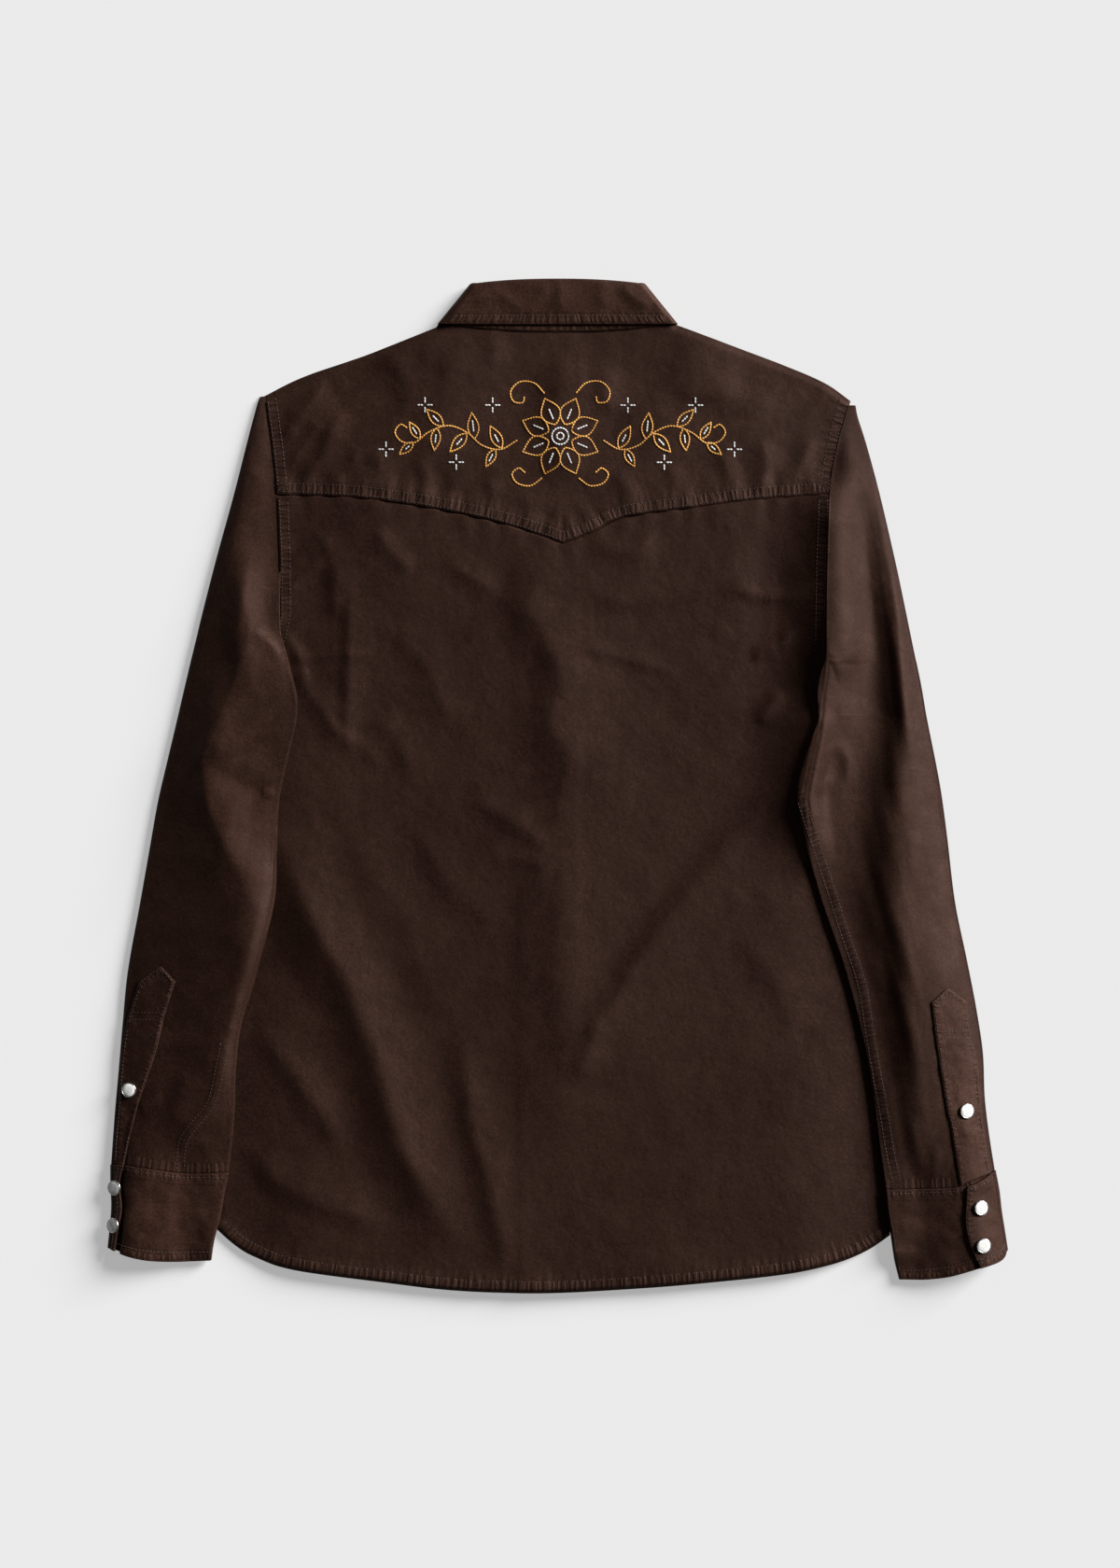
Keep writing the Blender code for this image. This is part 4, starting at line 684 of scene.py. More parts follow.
def yokeSurface(x, y):
    along, inwards = fromLine(yokeSeamLine, x, y)
    z = yokeZ(x, y) + yokePanel["edgeRise"] * smooth((16.0 - inwards) / 9.0)
    z = z - yokePanel["edgeRoll"] * smooth(1.0 - inwards / 1.5)
    pull = np.sin(along * 0.33 + 3.0 * unevenness(along, 0 * along, 37.0, 6))
    z = z + yokePanel["pull"] * pull * smooth(1.0 - np.abs(inwards - 10.0) / 22.0)
    shoulder = np.minimum(*[fromLine(line, x, y)[1] for line in shoulderLines])
    return z - yokePanel["shoulderRoll"] * smooth(1.0 - shoulder / 6.0)


sheetPiece("back_yoke", yokeTwill, steps(yokePanel["columns"], yokePointShare, *neckShares),
           steps(yokePanel["rows"], 0.5), laidOut(yokePlan, yokeSurface, [yokeSeamLine, *armholeLines]),
           yokePanel)

frontPanels = {"columns": 72, "rows": 140, "hemRise": 7.0, "shoulderShare": 0.58, "ease": 0.16,
               "left": {"flat": (0.282, 0.742), "area": 0.172},
               "right": {"flat": (0.290, 0.742), "area": 0.176}}
frontNeckLeft = [(-91.1, 352.8), (-84.0, 318.0), (-60.0, 284.0), (-27.0, 268.0), (9.0, 264.0)]
frontNeckRight = [(-23.0, 267.0), (9.0, 264.0), (58.0, 284.0), (84.0, 318.0), (92.5, 354.0)]
frontHemLine = lengthCurve([(x, y + frontPanels["hemRise"]) for x, y in hemLine])


def frontHem(startX, endX):
    width = hemLine[-1][0] - hemLine[0][0]
    return lambda t: frontHemLine((mix(startX, endX, np.asarray(t, float)) - hemLine[0][0]) / width)


def makeFront(side, plan, knot, level):
    def height(x, y):
        z = level(x, y)
        ease = frontPanels["ease"] * (1.0 + unevenness(x, y, 30.0, 9))
        return z + ease * smooth((z - 0.8) / 1.0)
    sheetPiece("front_" + side, frontTwill, steps(frontPanels["columns"], knot),
               steps(frontPanels["rows"], *knots(11)),
               laidOut(plan, height, [frontHemLine(shares(60))]), frontPanels[side])


leftHem, rightHem = frontHem(-262.4, 9.0), frontHem(-23.0, 256.7)
shoulderShare, neckShare = frontPanels["shoulderShare"], 1.0 - frontPanels["shoulderShare"]
leftTop = chained((shoulderShare, shoulders[0]), (1.0, lengthCurve(frontNeckLeft)))
rightTop = chained((neckShare, lengthCurve(frontNeckRight)), (1.0, shoulders[1]))
leftPlan = panelPlan(evenLine(leftSide), straight(leftHem(1.0), frontNeckLeft[-1]), leftHem, leftTop)
rightPlan = panelPlan(straight(rightHem(0.0), frontNeckRight[0]), evenLine(rightSide), rightHem, rightTop)
makeFront("left", leftPlan, shoulderShare, frontLeftZ)
makeFront("right", rightPlan, neckShare, frontRightZ)


def flatAt(height):
    return lambda x, y: np.full(x.shape, float(height))


def sidesOf(foot, head):
    return [np.array([foot(end), head(end)]) for end in (0.0, 1.0)]


def betweenPlan(foot, head):
    # a panel with straight sides from its foot to its head
    return panelPlan(*[straight(*side) for side in sidesOf(foot, head)], foot, head)


frontBand = {"flat": (0.038, 0.652), "area": 0.0246, "left": -27.0, "right": 9.0, "leftTop": 268.0,
             "rightTop": 264.0, "foot": -382.0}
bandLow = frontHem(frontBand["left"], frontBand["right"])
bandTop = [(frontBand[side], frontBand[side + "Top"]) for side in ("left", "right")]
bandEdges = [np.array([(x, frontBand["foot"]), (x, y)]) for x, y in bandTop]
sheetPiece("front_placket", frontTwill, steps(14), steps(160),
           laidOut(betweenPlan(bandLow, straight(*bandTop)), flatAt(onSnaps), bandEdges),
           frontBand, cloth["foldedWall"])

pocketCut = {"flat": (0.126, 0.125), "area": 0.0140, "corner": 16.0, "height": 0.75, "drop": 0.3}
flapCut = {"flat": (0.130, 0.062), "area": 0.0068, "notch": 9.0, "foot": 105.0}


def flapFoot(spot, drop=0.0):
    # the flap's lower edge, with two points
    left, right = spot[:2]
    quarter = (right - left) / 4.0

    def at(t):
        x = mix(left, right, np.asarray(t, float))
        away = np.abs((x - left) % (2.0 * quarter) - quarter) / quarter
        return np.stack([x, flapCut["foot"] + flapCut["notch"] * away - drop], axis=-1)
    return at


for (pocketNode, pocket), (flapNode, flap) in zip(pocketSpots.items(), flapSpots.items()):
    left, right, bottom = pocket[:3]
    corner = pocketCut["corner"]
    mouth = flapFoot(pocket, pocketCut["drop"])
    foot = lengthCurve([(left, bottom + corner), (left + corner, bottom), (right - corner, bottom),
                        (right, bottom + corner)])
    sheetPiece(pocketNode, frontTwill, steps(40), steps(36, 0.5),
               laidOut(betweenPlan(foot, mouth), flatAt(pocketCut["height"]),
                       [foot(shares(24)), *sidesOf(foot, mouth)]), pocketCut)
    foot, head = flapFoot(flap), straight((flap[0], flap[3]), (flap[1], flap[3]))
    sheetPiece(flapNode, frontTwill, steps(48), steps(20),
               laidOut(betweenPlan(foot, head), flatAt(onSnaps), [foot(shares(33)), *sidesOf(foot, head)]),
               flapCut, cloth["foldedWall"])
print("body laid")

# Sleeves: sections from the cuff seam to the shoulder, each outer x, outer y, inner x, inner y.
# "heights" says how high the upper layer's middle lies, from the outer fold to the inner edge,
# in rows up the sleeve. "felled" is the line of its felled seam.
heightRows = {"first": -310.0, "apart": 45.0}        # their y
rightSleeve = {
    "side": 1, "node": "sleeve_right", "flat": (0.238, 0.640), "area": 0.1190,
    "sections": [(337.3, -298.1, 253.1, -312.5), (332.6, -268.0, 247.6, -272.0),
                 (329.4, -240.0, 243.7, -240.0), (328.0, -206.6, 238.2, -207.0),
                 (322.9, -172.1, 230.0, -172.0), (315.5, -134.0, 219.6, -135.0),
                 (306.5, -90.0, 204.0, -90.0), (300.5, -40.0, 189.6, -39.0),
                 (294.8, 0.7, 184.2, -2.0), (285.6, 47.5, 199.4, 47.5), (284.0, 56.0, 200.2, 56.0),
                 (281.0, 74.0, 199.4, 74.0), (277.6, 91.0, 203.8, 91.0), (275.2, 101.5, 207.6, 101.5),
                 (267.8, 138.0, 208.3, 138.0), (260.3, 173.5, 209.0, 173.5),
                 (248.6, 223.9, 211.2, 223.9), (238.4, 262.0, 217.9, 262.0),
                 (231.8, 283.0, 223.7, 283.0), (229.9, 292.5, 226.2, 292.5)],
    "seam": [(337.3, -298.1), (326.0, -305.0), (312.1, -310.0), (282.0, -312.0), (253.1, -312.5)],
    "cornerY": 101.5, "seamLift": 0.5,
    "heights": [
        [2.8, 6.0, 8.4, 9.6, 9.4, 9.0, 8.6, 8.2, 8.0, 7.6, 6.8],
        [2.8, 7.2, 10.2, 11.8, 12.4, 13.0, 13.4, 12.2, 10.0, 8.4, 6.8],
        [2.8, 7.4, 10.6, 12.4, 13.8, 15.2, 16.0, 13.4, 10.2, 8.6, 7.0],
        [2.8, 7.4, 10.8, 12.8, 14.6, 16.4, 17.2, 12.6, 9.8, 8.6, 7.2],
        [2.8, 7.6, 11.4, 14.4, 16.8, 18.6, 15.2, 11.0, 9.6, 9.0, 7.8],
        [2.8, 7.8, 11.6, 14.8, 17.4, 17.6, 13.0, 10.2, 9.4, 9.0, 7.8],
        [2.8, 7.8, 12.2, 15.8, 16.8, 12.6, 9.2, 8.6, 9.6, 9.6, 8.2],
        [2.8, 8.4, 13.0, 15.2, 10.8, 8.0, 8.8, 10.6, 12.4, 13.6, 12.2],
        [2.8, 8.8, 13.2, 10.2, 7.0, 7.0, 9.2, 12.6, 15.8, 17.6, 17.8],
        [2.8, 8.4, 11.4, 8.2, 5.8, 6.0, 8.4, 12.2, 15.8, 18.0, 19.0],
        [2.6, 6.8, 7.6, 6.2, 5.2, 6.2, 8.6, 11.6, 14.8, 17.6, 19.4],
        [2.4, 5.0, 5.4, 5.2, 5.6, 7.2, 9.4, 11.8, 14.2, 16.4, 17.8],
        [2.2, 3.4, 4.4, 5.3, 6.2, 7.1, 8.0, 8.8, 9.6, 10.3, 10.8],
        [1.6, 2.2, 2.6, 2.9, 3.1, 3.3, 3.5, 3.6, 3.7, 3.6, 3.4],
        [1.2, 1.4, 1.6, 1.8, 2.0, 2.2, 2.4, 2.6, 2.8, 3.0, 3.0]],
    "felled": [(184.0, 3.6), (187.6, -12.2), (196.9, -41.0), (208.4, -74.2), (221.4, -114.5),
               (234.4, -153.4), (241.6, -197.3), (250.9, -249.1), (256.7, -284.4), (263.2, -314.6)],
    "creases": [
        (((184.0, -7.9), (192.6, 10.8), (207.0, 26.6), (220.0, 25.2), (223.6, 9.4),
          (217.1, -6.5)), 8, 8, 1.3, 2),
        (((185.4, -12.2), (195.5, -18.0), (202.7, -38.2), (207.0, -64.1)), 9, 7, 1.3, 2),
        (((194.0, -0.7), (205.6, 0.7), (212.8, 7.9)), 6, 6, 0.9, 1.5),
        (((258.1, 202.3), (261.7, 159.1), (263.9, 108.7), (266.0, 58.3), (264.6, 7.9)), 10, 7, 1.0, 2),
        (((222.1, -46.1), (236.5, -85.7), (245.9, -128.9), (251.6, -179.3)), 9, 12, 0.8, 3),
        (((283.3, -13.7), (274.7, -42.5), (268.9, -78.5)), 10, 14, 0.9, 3),
        (((302.0, -85.7), (287.6, -107.3), (270.4, -115.9), (256.0, -114.5)), 10, 12, 0.7, 3),
        (((253.1, -222.5), (258.8, -258.5), (266.0, -294.5)), 8, 10, 0.8, 2),
        (((272.5, -251.3), (276.1, -280.1), (283.3, -305.3)), 8, 9, 1.0, 2),
        (((294.1, -276.5), (290.5, -294.5), (292.7, -308.9)), 6, 7, 0.9, 1.5),
    ],
}
leftFelled = [(-253.1, -190.1), (-258.1, -215.3), (-265.3, -244.1), (-279.7, -262.8),
              (-287.6, -275.8), (-289.8, -298.8)]
leftSleeve = {
    "side": -1, "node": "sleeve_left", "flat": (0.236, 0.628), "area": 0.1160,
    "sections": [(-343.1, -293.8, -253.1, -299.5), (-340.3, -255.0, -248.6, -258.0),
                 (-337.3, -221.0, -247.0, -218.0), (-334.2, -185.0, -242.6, -184.0),
                 (-330.1, -143.3, -231.6, -148.0), (-320.8, -91.4, -217.2, -90.0),
                 (-313.5, -50.0, -215.4, -50.0), (-307.1, -13.7, -213.9, -14.0),
                 (-299.8, 18.0, -208.0, 16.0), (-292.8, 47.5, -200.8, 47.5),
                 (-288.3, 67.0, -200.0, 67.0), (-282.2, 92.9, -206.0, 92.9),
                 (-277.3, 113.0, -211.4, 113.0), (-273.2, 130.3, -214.8, 130.3),
                 (-262.2, 173.5, -214.8, 173.5), (-248.4, 223.9, -217.0, 223.9),
                 (-238.8, 262.0, -220.9, 262.0), (-232.0, 288.0, -224.9, 288.0),
                 (-229.4, 296.5, -225.9, 296.5), (-227.2, 299.2, -225.9, 299.2)],
    "seam": [(-343.1, -293.8), (-333.0, -293.6), (-310.0, -296.8), (-289.8, -299.8),
             (-270.0, -300.0), (-253.1, -299.5)],
    "cornerY": 130.3, "seamLift": -0.2,
    "heights": [
        [4.1, 6.9, 8.1, 8.5, 8.7, 8.8, 8.7, 8.5, 8.3, 8.3, 8.3],
        [4.3, 6.9, 8.6, 10.2, 11.5, 12.8, 13.7, 13.0, 11.8, 10.4, 9.4],
        [4.3, 7.0, 8.8, 10.2, 11.4, 12.6, 14.2, 16.0, 17.0, 15.8, 12.6],
        [4.3, 7.0, 9.2, 11.2, 13.1, 15.0, 17.0, 19.0, 20.6, 20.8, 16.2],
        [4.3, 7.0, 9.4, 11.9, 14.4, 17.0, 19.6, 22.2, 24.4, 25.0, 20.6],
        [4.3, 7.2, 9.9, 12.7, 15.6, 18.5, 21.4, 24.0, 25.4, 23.0, 17.6],
        [4.3, 7.5, 10.7, 14.0, 17.4, 20.7, 22.8, 21.4, 18.6, 16.0, 13.4],
        [4.3, 7.8, 11.4, 15.1, 18.5, 18.7, 17.1, 15.2, 13.4, 11.8, 10.1],
        [4.3, 8.1, 11.9, 15.7, 16.3, 15.5, 14.5, 13.4, 12.2, 11.0, 9.5],
        [4.3, 6.6, 9.0, 11.4, 13.8, 16.1, 16.3, 15.3, 14.0, 12.5, 10.3],
        [4.1, 6.3, 8.5, 10.8, 13.1, 14.3, 12.9, 11.3, 9.7, 8.1, 6.7],
        [3.9, 6.0, 7.9, 8.4, 8.1, 7.7, 7.3, 6.9, 6.5, 6.1, 5.5],
        [3.6, 5.0, 6.0, 6.3, 6.3, 6.1, 5.9, 5.6, 5.3, 5.0, 4.8],
        [2.8, 3.4, 3.9, 4.2, 4.3, 4.3, 4.3, 4.3, 4.2, 4.0, 3.8],
        [1.2, 1.4, 1.6, 1.8, 2.0, 2.2, 2.4, 2.6, 2.8, 3.0, 3.0]],
    "felled": leftFelled,
    "creases": [
        (((-249.5, 202.3), (-245.2, 159.1), (-236.5, 121.7), (-243.7, 90.7), (-259.6, 47.5),
          (-271.0, 20.9), (-265.5, -20.9), (-250.0, -53.3), (-233.6, -85.7),
          (-219.0, -116.0)), 18, 11, 1.5, 1.5),
        (((-206.3, 101.5), (-216.4, 105.8), (-227.9, 114.5), (-235.1, 121.7)), 10, 8, 1.6, 2),
        (((-272.5, 20.9), (-249.5, 29.5), (-226.4, 39.6), (-203.4, 42.5)), 14, 9, 1.1, 2),
        (((-214.9, -6.5), (-220.7, -6.5), (-227.9, -5.0)), 6, 6, 1.2, 1.5),
        (leftFelled, 26, 6, 1.3, 1.5),
        (((-275.4, 20.9), (-253.8, 6.5), (-235.1, -2.2), (-214.9, -7.9)), 16, 34, -1.9, 2),
        (((-240.8, -157.7), (-246.6, -180.7), (-253.8, -195.1)), 7, 6, 1.2, 1.5),
        (((-321.5, -200.9), (-305.6, -198.0), (-288.4, -193.7), (-269.6, -185.0)), 12, 14, 0.8, 3),
        (((-322.9, -249.8), (-314.3, -245.5), (-301.3, -238.3)), 6, 8, 0.9, 2),
        (((-274.0, -267.1), (-269.6, -284.4), (-271.1, -300.2)), 7, 8, 0.9, 2),
        (((-281.2, -215.3), (-288.4, -238.3), (-297.0, -262.8)), 10, 10, 0.8, 3),
    ],
}
# Cuffs: rows of outer x, outer y, inner x, inner y, and the x where the over end stops
cuffs = {
    "cuff_left": {"side": -1, "crown": 9.0, "crownAt": 0.24, "underInset": 10.5,
                  "flat": (0.250, 0.068), "area": 0.0152,
                  "rows": [(-343.1, -293.8, -253.1, -299.5, -333.0),
                           (-343.0, -308.0, -256.4, -315.0, -335.6),
                           (-342.4, -325.0, -259.4, -332.0, -334.2),
                           (-343.6, -341.0, -264.0, -349.0, -337.2),
                           (-345.2, -356.4, -266.8, -365.8, -339.6)],
                  "seam": leftSleeve["seam"],
                  "edge": [(-345.2, -356.4), (-330.1, -362.2), (-312.1, -365.8), (-289.8, -366.8),
                           (-266.8, -365.8)]},
    "cuff_right": {"side": 1, "crown": 9.6, "crownAt": 0.30, "underInset": 9.0,
                   "flat": (0.258, 0.072), "area": 0.0168,
                   "rows": [(337.3, -298.1, 253.1, -312.5, 312.1), (340.2, -313.0, 254.6, -328.0, 312.6),
                            (342.0, -328.0, 257.6, -346.0, 312.3), (344.4, -343.0, 260.4, -364.0, 315.6),
                            (346.7, -357.8, 264.6, -380.8, 322.0)],
                   "seam": rightSleeve["seam"],
                   "edge": [(346.7, -357.8), (340.9, -365.8), (321.5, -372.2), (301.3, -378.2),
                            (283.0, -380.6), (264.6, -380.8)]},
}


class LaidForm:
    # cloth laid flat in layers: u runs from its outer fold to its inner edge, v from one end to the other
    def width(self, v):
        return np.hypot(*(self.inner(v) - self.outer(v)).T)

    def point(self, u, v):
        p = self.plan(u, v)
        return np.stack([p[..., 0], p[..., 1], self.topZ(u, v)], axis=-1)

    def beneath(self, p, around):
        # the height of the back under each place, or under its side, and how far beyond that side it is
        x, y = p[..., 0], p[..., 1]
        edge = sideX(y, self.side)
        outside = (x - edge) * self.side
        inside = np.where(outside > 0.0, edge, x)
        return np.max([backZ(inside + dx, y + dy) for dx, dy in around], axis=0), outside

    def low(self, u, v):
        return self.lowZ(self.plan(u, v))

    def turned(self, v, tops, lows, most):
        # the round turns at the outer fold and the inner edge: their radius and their reach inwards
        radius = [(top - low) / 2.0 for top, low in zip(tops, lows)]
        return radius, [np.minimum(r, most) / self.width(v) for r in radius]

    def wrapped(self, u, v, counts, layers, turns, layerRun):
        # three layers joined by two turns: a layer is (from, to, height), and a turn is (whether it is
        # the inner one, its reach, the height it starts at, its radius, which is minus on the way down)
        spans = np.array(counts) / sum(counts)
        ends = np.cumsum(counts) / sum(counts)
        part = np.searchsorted(ends, u, side="right").clip(0, 4)
        local = (u - np.concatenate([[0.0], ends])[part]) / spans[part]
        out = np.zeros((len(u), 3))
        for k in range(5):
            here = part == k
            s, w = local[here], v[here]
            if k % 2:
                isInner, reach, start, radius = turns[k // 2]
                share = reach[here] * (1.0 - np.sin(np.pi * s))
                share = 1.0 - share if isInner else share
                z = start[here] + radius[here] * (1.0 - np.cos(np.pi * s))
            else:
                start, stop, height = layers[k // 2]
                share = mix(start[here], stop[here], s)
                z = height(share, w)
            out[here] = np.column_stack([self.plan(share, w), z])
        return out, np.column_stack([(part + local) * layerRun, out[:, 1]]), part


cuffForm = {"parts": [26, 9, 22, 9, 54], "rows": 100, "layerRun": 50.0, "mostReach": 4.0,
            "lapRise": 2.1, "underRise": 2.8, "onFloor": 0.9, "onBody": 2.0, "bodyEndY": -372.0,
            "ramp": 30.0}


class CuffForm(LaidForm):
    # a cuff laid flat: a band whose over end lies on its under end at the snaps
    def __init__(self, name):
        self.spec = cuffs[name]
        self.side, rows = self.spec["side"], self.spec["rows"]
        self.outer = evenCurve([row[:2] for row in rows])
        self.inner = evenCurve([row[2:4] for row in rows])
        self.lap = evenCurve([(row[4], 0.0) for row in rows])
        self.seam, self.edge = lengthCurve(self.spec["seam"]), lengthCurve(self.spec["edge"])

    def plan(self, u, v):
        u, v = np.broadcast_arrays(np.asarray(u, float), np.asarray(v, float))
        u3, v3 = u[..., None], v[..., None]
        atSeam = self.seam(u) - mix(self.outer(0.0), self.inner(0.0), u3) + np.array([0.0, 1.2])
        atEdge = self.edge(u) - mix(self.outer(1.0), self.inner(1.0), u3)
        return mix(self.outer(v), self.inner(v), u3) + atSeam * (1.0 - v3) ** 2 + atEdge * v3 * v3

    def lapShare(self, v):
        outer, inner = self.outer(v)[..., 0], self.inner(v)[..., 0]
        return (self.lap(v)[..., 0] - outer) / (inner - outer)

    def lowZ(self, p):
        below, outside = self.beneath(p, ((0, 0), (-7, 0), (7, 0)))
        overBody = smooth((p[..., 1] - cuffForm["bodyEndY"]) / 14.0)
        level = mix(cuffForm["onFloor"], below + cuffForm["onBody"], overBody)
        return mix(level, cuffForm["onFloor"], smooth(outside / cuffForm["ramp"]))

    def crown(self, u):
        peak = self.spec["crownAt"]
        rise = np.where(u < peak, np.sin(0.5 * np.pi * np.clip(u / peak, 0, 1)) ** 1.2,
                        0.5 + 0.5 * np.cos(np.pi * np.clip((u - peak) / (1.0 - peak), 0, 1)))
        return self.spec["crown"] * (0.12 + 0.88 * rise)

    def underZ(self, u, v):
        p = self.plan(u, v)
        wave = rumpled(p[..., 0], p[..., 1], (0.7, 20.0, 22), (0.4, 8.0, 24))
        return (self.lowZ(p) + cuffForm["underRise"] + self.crown(u)
                + wave * smooth(np.minimum(u, 1.0 - u) / 0.12))

    def overZ(self, u, v):
        return self.underZ(u, v) + cuffForm["lapRise"]

    def topZ(self, u, v):
        return self.underZ(u, v) + cuffForm["lapRise"] * smooth((self.lapShare(v) - u) / 0.015 + 1.0)

    def place(self, u, v):
        zero, one = np.zeros(v.shape), np.ones(v.shape)
        tops, lows = [self.overZ(zero, v), self.underZ(one, v)], [self.low(zero, v), self.low(one, v)]
        radius, reach = self.turned(v, tops, lows, cuffForm["mostReach"])
        underEnd = self.spec["underInset"] / self.width(v)
        layers = [(self.lapShare(v), reach[0], self.overZ), (reach[0], 1.0 - reach[1], self.low),
                  (1.0 - reach[1], underEnd, self.underZ)]
        turns = [(False, reach[0], tops[0], -radius[0]), (True, reach[1], lows[1], radius[1])]
        out, flat, part = self.wrapped(u, v, cuffForm["parts"], layers, turns, cuffForm["layerRun"])
        t = shares(24)
        lines = [self.plan(t, 0.0 * t), self.plan(t, 0.0 * t + 1.0), self.plan(self.lapShare(t), t)]
        *marks, (along, aside) = [fromLine(line, out[:, 0], out[:, 1]) for line in lines]
        return out, flat, seamMarks(*marks, (along, np.where(part == 0, aside, noSeam)))


sleeveMesh = {"upper": 92, "turn": 9, "under": 8, "lower": 8, "rows": 290, "layerRun": 60.0,
              "mostReach": 5.0, "clearance": 3.6, "lastFold": 12, "underarm": 9, "seamReach": 0.16,
              "ramp": 30.0, "tuck": 1.8}


class SleeveForm(LaidForm):
    # a sleeve laid flat: straight sections from its outer fold (u = 0) to its inner edge (u = 1)
    def __init__(self, spec):
        self.spec, self.side, sections = spec, spec["side"], spec["sections"]
        self.outer = evenCurve([row[:2] for row in sections])
        nearSeam = smooth((np.array([row[1] for row in sections]) - spec["cornerY"] + 14.0) / 16.0)
        tuck = sleeveMesh["tuck"] * self.side * nearSeam
        self.inner = evenCurve([(row[2] - t, row[3]) for row, t in zip(sections, tuck)])
        self.seam = lengthCurve(spec["seam"])
        last = len(sections) - 1
        self.closedTo, self.foldedTo = sleeveMesh["underarm"] / last, sleeveMesh["lastFold"] / last
        self.table = np.pad(np.array(spec["heights"], float), 1, mode="edge")
        self.cuff = CuffForm("cuff_left" if self.side < 0 else "cuff_right")

    def plan(self, u, v):
        u = np.asarray(u, float)[..., None]
        bent = self.seam(u[..., 0]) - mix(self.outer(0.0), self.inner(0.0), u)
        fade = smooth(1.0 - np.asarray(v, float) / sleeveMesh["seamReach"])[..., None]
        return mix(self.outer(v), self.inner(v), u) + bent * fade

    def edgeShare(self, v, clearance):
        # the share of the section that lies that far beyond the body's side
        y = self.plan(0.5, v)[..., 1]
        for _ in range(5):
            x = sideX(y, self.side) + self.side * clearance
            u = (x - self.outer(v)[..., 0]) / (self.inner(v)[..., 0] - self.outer(v)[..., 0])
            y = self.plan(u, v)[..., 1]
        return u

    def lowZ(self, p):
        # the lower layer, which lies on the body and on the floor beside it
        below, outside = self.beneath(p, ((0, 0), (-3, 0), (3, 0), (0, -3), (0, 3)))
        resting = mix(below + 1.7, onFloor, smooth(outside / sleeveMesh["ramp"]))
        return mix(resting, onFloor, smooth((p[..., 1] - self.spec["cornerY"]) / 30.0))

    def tableZ(self, u, y):
        # the height between the rows and columns of the table
        a = np.clip((y - heightRows["first"]) / heightRows["apart"], 0.0, len(self.table) - 2 - 1.001)
        b = np.clip(u, 0.0, 1.0) * 9.999
        i, j = a.astype(int), b.astype(int)
        lines = [bend(*[self.table[i + k, j + m] for m in range(4)], b - j) for k in range(4)]
        return bend(*lines, a - i)

    def topZ(self, u, v):
        p = self.plan(u, v)
        x, y = p[..., 0], p[..., 1]
        u = np.broadcast_to(np.asarray(u, float), x.shape)
        fromEdge = np.minimum(u, 1.0 - u) * self.width(v)
        z = self.tableZ(u, y) + smooth(fromEdge / 10.0) * creaseHeight(self.spec["creases"], x, y)
        z = mix(z, self.cuff.underZ(u, 0.0 * u) - 0.9, smooth(1.0 - np.asarray(v, float) / 0.055))
        if self.side > 0:
            felled = creaseHeight([(self.spec["felled"], 5.0, 5.0, 1.0, 2.0)], x, y)
            z = z + 0.7 * smooth(fromEdge / 4.0) * felled
        z = z + smooth(fromEdge / 9.0) * rumpled(x, y, (0.5, 26.0, 12), (0.2, 12.0, 15))
        above = smooth((y - self.spec["cornerY"] + 52.0) / 64.0)
        pastCorner = smooth((y - self.spec["cornerY"] + 3.0) / 42.0)
        if above.max() > 0.0:       # at the armhole the sleeve meets the body's own height
            q = self.plan(np.ones(u.shape), v)
            qx, qy = q[..., 0], q[..., 1]
            body = np.where(qy > yokeSeamLeft[0][1], yokeZ(qx, qy), backZ(qx, qy))
            reach = smooth((u - 0.25) / 0.75) * above
            lift = mix(3.5, self.spec["seamLift"], pastCorner)
            z = mix(z, body + lift + (z - body) * (1.0 - reach), reach)
        floorZ = self.lowZ(p) + 1.5
        clear = floorZ + 1.6 * np.logaddexp(0.0, (z - floorZ) / 1.6)
        return mix(clear, z, pastCorner)

    def lowerZ(self, u, v):
        return np.where(self.isClosed(v), self.low(u, v), onFloor)

    def isClosed(self, v):
        return v <= self.closedTo + 1e-6

    def place(self, u, v):
        n, zero, one = sleeveMesh, np.zeros(v.shape), np.ones(v.shape)
        folded, closed = v <= self.foldedTo + 1e-6, self.isClosed(v)
        edge = self.edgeShare(v, n["clearance"])
        hidden = np.where(closed, edge, self.edgeShare(v, 0.0))
        tops, lows = [self.topZ(zero, v), self.topZ(one, v)], [self.lowerZ(zero, v), self.low(one, v)]
        radius, reach = self.turned(v, tops, lows, n["mostReach"])
        far = np.where(folded, 1.0 - reach[1], 1.0)
        layers = [(hidden, 1.0 - reach[1], self.low), (far, reach[0], self.topZ),
                  (reach[0], edge, self.lowerZ)]
        turns = [(True, reach[1], lows[1], radius[1]), (False, reach[0], tops[0], -radius[0])]
        out, flat, part = self.wrapped(u, v, sleeveParts, layers, turns, n["layerRun"])
        seamFoot = self.plan(shares(24), np.zeros(24))
        along, aside = fromLine(lengthCurve(self.spec["felled"])(shares(60)), out[:, 0], out[:, 1])
        atFelled = (part == 2) & (aside < 4.2) & (self.side > 0)
        marks = fromLine(seamFoot, out[:, 0], out[:, 1]), (along, np.where(atFelled, aside + 1.4, noSeam))
        return out, flat, seamMarks(*marks), ~((part < 2) & ~folded)


sleeveParts = [sleeveMesh[part] for part in ("under", "turn", "upper", "turn", "lower")]
sleeves = [SleeveForm(leftSleeve), SleeveForm(rightSleeve)]
for form in sleeves:
    sheetPiece(form.spec["node"], sleeveTwill, shares(sum(sleeveParts) + 1),
               steps(sleeveMesh["rows"], *knots(len(form.spec["sections"]) - 1)), form.place, form.spec)
print("sleeves laid")

